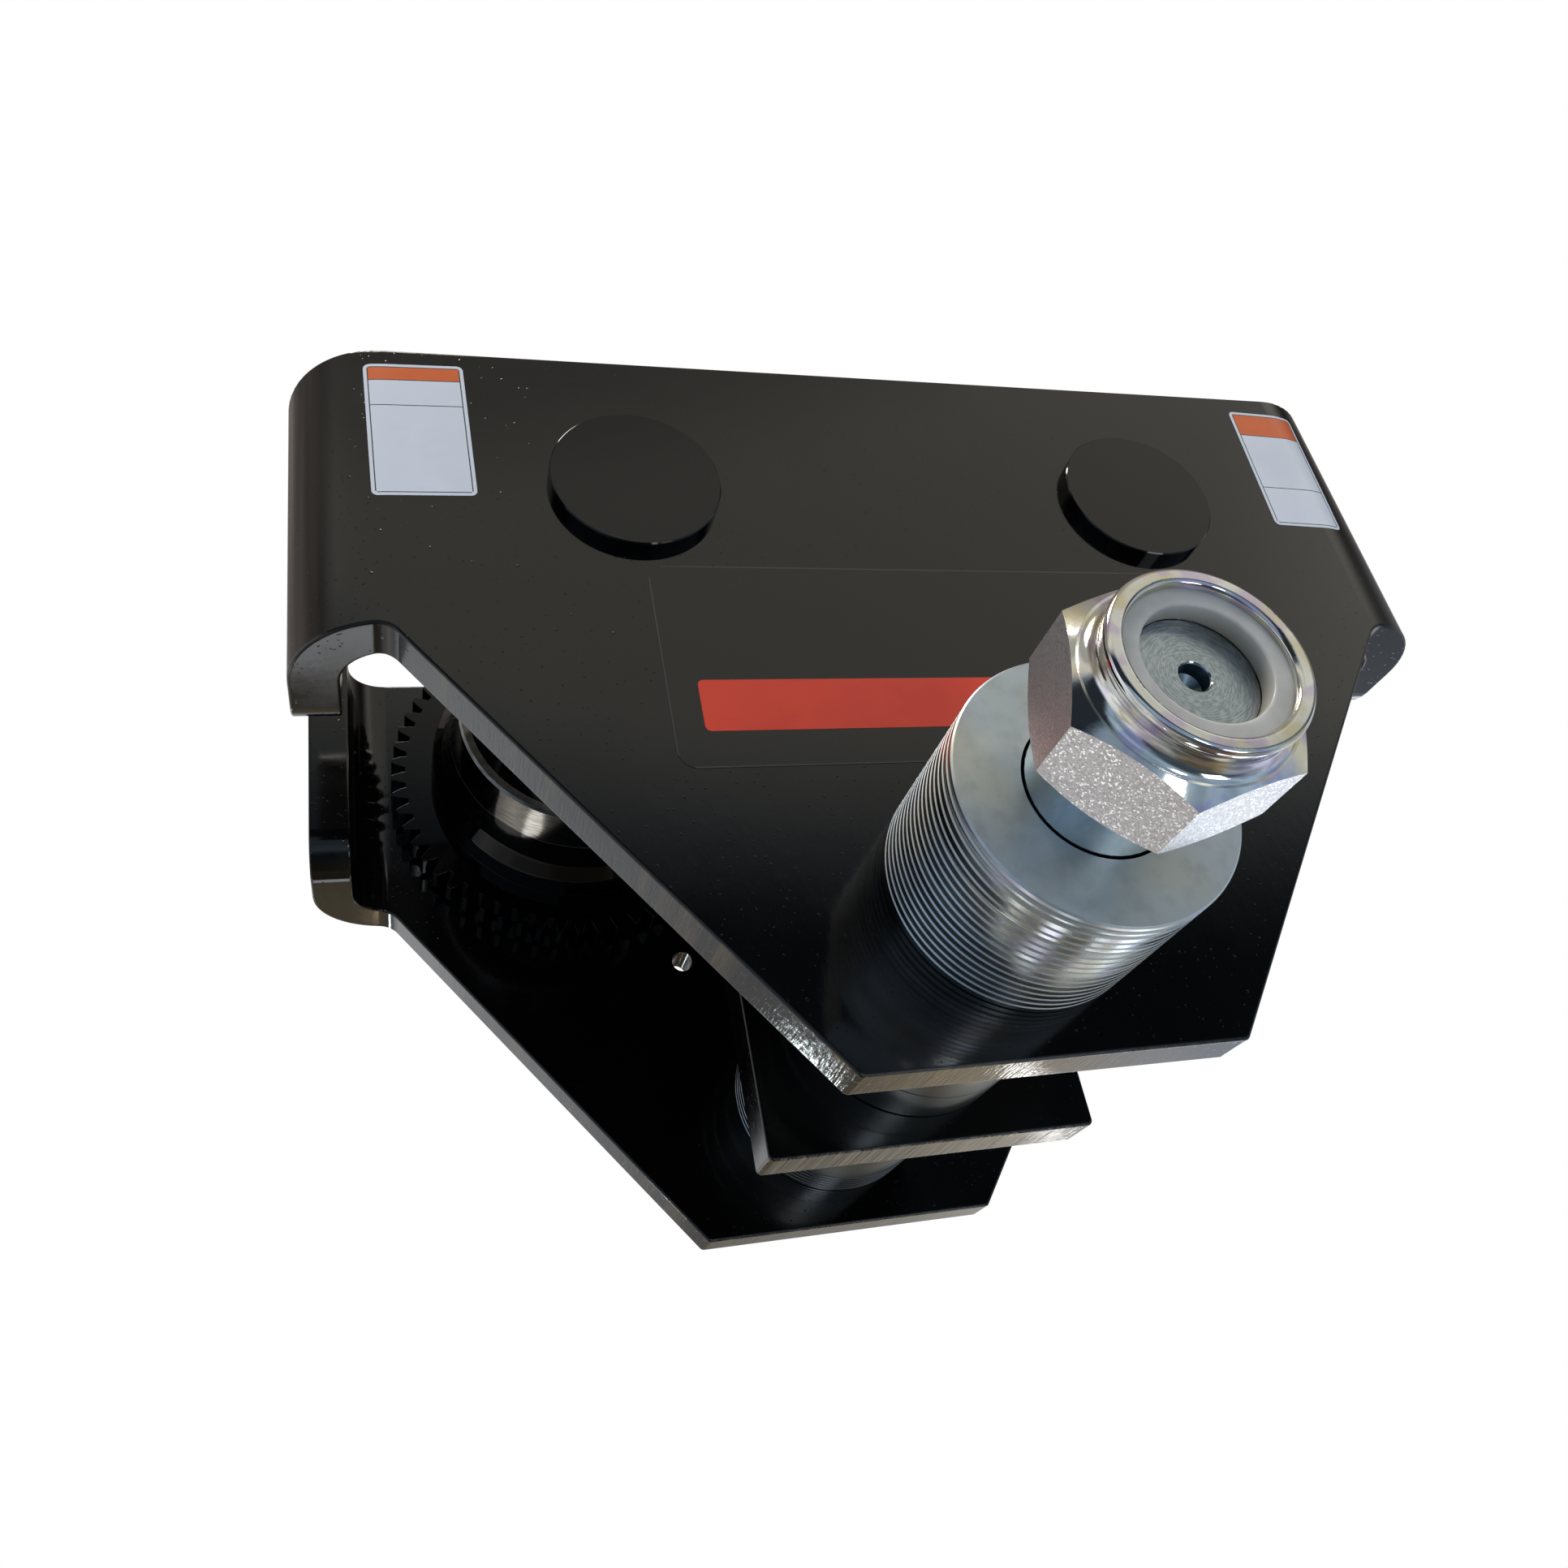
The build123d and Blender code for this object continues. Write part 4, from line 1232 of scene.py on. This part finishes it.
@dataclass
class Studio:
    """Pale floor, soft surround that is dim low in front, a few lamps and the camera."""

    floor_z: float = -0.32
    floor_radius: float = 1.4
    floor_sides: int = 96
    floor_fade: tuple[float, float] = (0.5, 0.98)
    floor_colour: str = "#f3f1ec"
    shapes_scale: float = 2.4
    shapes_detail: float = 2.0
    wall_slope: float = 0.08
    wall_slope_right: float = 0.17
    focal_px: float = 1607.055
    axis_px: tuple[float, float] = (912.52, 954.332)
    azimuth_deg: float = 18.218
    elevation_deg: float = 29.222
    roll_deg: float = -10.825
    eye_mm: tuple[float, float, float] = (-173.062, -405.87, -89.517)
    sensor_mm: float = 36.0
    clip_m: float = 0.01
    lamps: tuple[Lamp, ...] = (
        Lamp("key_above_left", (-0.18, -0.40, 0.90), 0.6, 22.0, "#fffaf2", 2.0),
        Lamp("low_rear_left", (-0.351, 0.896, -0.235), 0.18, 40.0, "#e2f0f2"),
        Lamp("low_rear_right", (0.465, 0.85, -0.245), 0.12, 14.0),
        Lamp("low_rear_middle", (-0.028, 0.902, -0.43), 0.04, 40.0, "#ffe2b4"),
        Lamp("floor_front", (0.4, -0.6, -0.69), 1.4, 4.0, "#eef4fb"),
        Lamp("low_front", (0.14, -0.9, -0.41), 0.6, 14.0, "#eef4fb"),
        Lamp("low_rear_right_wide", (0.57, 0.69, -0.45), 1.2, 2.6, "#e2eef6"),
        Lamp("level_rear_right", (0.71, 0.70, -0.09), 1.2, 2.2, "#e6f0fa"),
        Lamp("floor_rear_middle", (-0.04, 0.77, -0.64), 0.7, 2.6, "#e9edf2"),
        Lamp("floor_rear_right", (0.37, 0.695, -0.61), 1.0, 2.0),
        Lamp("floor_rear_left", (-0.434, 0.695, -0.571), 0.8, 2.5),
    )

    def build(self) -> None:
        """Set the stage."""
        bpy.context.scene.view_settings.view_transform = "Standard"
        self.surround()
        self.floor()
        low, high = (Vector(corner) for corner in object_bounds())
        for lamp in self.lamps:
            lamp.build((low + high) / 2)
        self.camera()

    def surround(self) -> None:
        """Light the trolley softly: a wall over a dim band in front, paler sides, warm and dim overhead."""
        world = bpy.data.worlds.new("soft_surround")
        bpy.context.scene.world = world
        add = start_nodes(world)
        way = add(Kind.PLACE).outputs["Generated"]
        across, depth, rise = add(Kind.SPLIT, {0: way}).outputs
        rightward = add(Kind.MATHS, {0: across, 1: 0.0}, operation="MAXIMUM")
        slope = add(Kind.MATHS, {0: across, 1: self.wall_slope, 2: rise}, operation="MULTIPLY_ADD")
        slope = add(Kind.MATHS, {0: rightward, 1: self.wall_slope_right, 2: slope}, operation="MULTIPLY_ADD")
        parts = {
            Part.ACROSS: across,
            Part.ASIDE: add(Kind.MATHS, {0: across}, operation="ABSOLUTE"),
            Part.DEPTH: depth,
            Part.RISE: rise,
            Part.SLOPE: slope,
            Part.NOISE: add(Kind.NOISE, {"Vector": way, "Scale": self.shapes_scale,
                                         "Detail": self.shapes_detail}),
        }
        step = {name: add(Kind.RANGE, dict(enumerate((parts[part], *span))), **SMOOTH)
                for name, (part, *span) in STEPS.items()}
        # In front a lit wall, brighter to the right, stands over a dark bluish band and pale tables
        front = add(Kind.MATHS, {0: step["wall"], 1: step["lit"]}, operation="MULTIPLY")
        front = add(Kind.MATHS, {0: front, 1: step["shade"]}, operation="MULTIPLY")
        tables = add(Kind.MATHS, {0: step["tables"], 1: step["beneath"]}, operation="MULTIPLY")
        front = add(Kind.MATHS, {0: tables, 1: step["shapes"], 2: front}, operation="MULTIPLY_ADD")
        front_tint = add(Kind.MIX, {0: step["lit"], 6: Tint.BAND.value, 7: Tint.WALL.value}, **COLOUR)
        # Round the sides and behind it is pale, dimmer towards the floor, with the room's soft shapes
        gap = add(Kind.MATHS, {0: step["gap"], 1: step["above"]}, operation="MAXIMUM")
        side = add(Kind.MATHS, {0: step["low"], 1: gap, 2: step["high"]}, operation="MULTIPLY_ADD")
        side = add(Kind.MATHS, {0: side, 1: step["shapes"]}, operation="MULTIPLY")
        side = add(Kind.MIX, {0: step["dusk"], 2: side, 3: 0.0})
        side_tint = Tint.REAR.value
        for name, tint in (("right", Tint.RIGHT), ("left", Tint.LEFT), ("above", Tint.LEVEL),
                           ("dusk", Tint.DUSK)):
            side_tint = add(Kind.MIX, {0: step[name], 6: side_tint, 7: tint.value}, **COLOUR)
        corner = add(Kind.MATHS, {0: step["corner"], 1: step["raised"]}, operation="MULTIPLY")
        strength = add(Kind.MIX, {0: step["ahead"], 2: side, 3: front})
        strength = add(Kind.MIX, {0: corner, 2: strength, 3: 0.0})
        colour = add(Kind.MIX, {0: step["ahead"], 6: side_tint, 7: front_tint}, **COLOUR)
        light = add(Kind.GLOW, {"Color": colour, "Strength": strength})
        paper = add(Kind.GLOW, {"Color": Tint.PAPER.value, "Strength": 1.0})
        seen = add(Kind.RAY).outputs["Is Camera Ray"]
        both = add(Kind.EITHER, {0: seen, 1: light, 2: paper})
        add(Kind.WORLD, {"Surface": both})

    def floor(self) -> None:
        """Lay a round pale floor that fades into the surround."""
        deselect()
        bpy.ops.mesh.primitive_circle_add(vertices=self.floor_sides, radius=self.floor_radius,
                                          fill_type="NGON", location=(0.0, 0.0, self.floor_z))
        floor = bpy.context.object
        floor.name = "floor"
        apply_place(floor)
        material = bpy.data.materials.new("floor_paper")
        add = start_nodes(material)
        place = add(Kind.PLACE).outputs["Object"]
        reach = add(Kind.VECTOR, {0: place}, operation="LENGTH")
        near, far = (part * self.floor_radius for part in self.floor_fade)
        clear = add(Kind.RANGE, {0: reach, 1: near, 2: far}, **SMOOTH)
        paper = add(Kind.MATT, {"Color": self.floor_colour})
        both = add(Kind.EITHER, {0: clear, 1: paper, 2: add(Kind.CLEAR)})
        add(Kind.OUTPUT, {"Surface": both})
        floor.data.materials.append(material)
        # The surround lights the trolley from below, so the floor is only there to be seen
        floor.visible_diffuse = False
        floor.visible_glossy = False
        floor.visible_shadow = False
        floor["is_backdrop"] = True

    def camera(self) -> None:
        """Stand the camera where the picture was taken."""
        turn, lift, roll = (math.radians(angle) for angle in
                            (self.azimuth_deg, self.elevation_deg, self.roll_deg))
        ahead = Vector((math.sin(turn) * math.cos(lift), math.cos(turn) * math.cos(lift), math.sin(lift)))
        level = ahead.cross(Vector((0.0, 0.0, 1.0))).normalized()
        upright = level.cross(ahead)
        right = math.cos(roll) * level + math.sin(roll) * upright
        up = -math.sin(roll) * level + math.cos(roll) * upright
        data = bpy.data.cameras.new("camera")
        data.sensor_width = self.sensor_mm
        data.lens = self.focal_px * self.sensor_mm / IMAGE_SIDE_PX
        data.shift_x = 0.5 - self.axis_px[0] / IMAGE_SIDE_PX
        data.shift_y = self.axis_px[1] / IMAGE_SIDE_PX - 0.5
        data.clip_start = self.clip_m
        camera = bpy.data.objects.new("camera", data)
        bpy.context.scene.collection.objects.link(camera)
        stand = Matrix((right, up, -ahead)).transposed().to_4x4()
        stand.translation = Vector(self.eye_mm) * MM
        camera.matrix_world = stand
        bpy.context.scene.camera = camera


def main() -> None:
    """Dress the trolley, add its films and threads, and set the stage."""
    logging.basicConfig(level=logging.INFO, format="%(message)s")
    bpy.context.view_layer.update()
    SidePlates().build()
    HangerShaft().build()
    WheelSets().build()
    Studio().build()


if __name__ == "__main__":
    main()
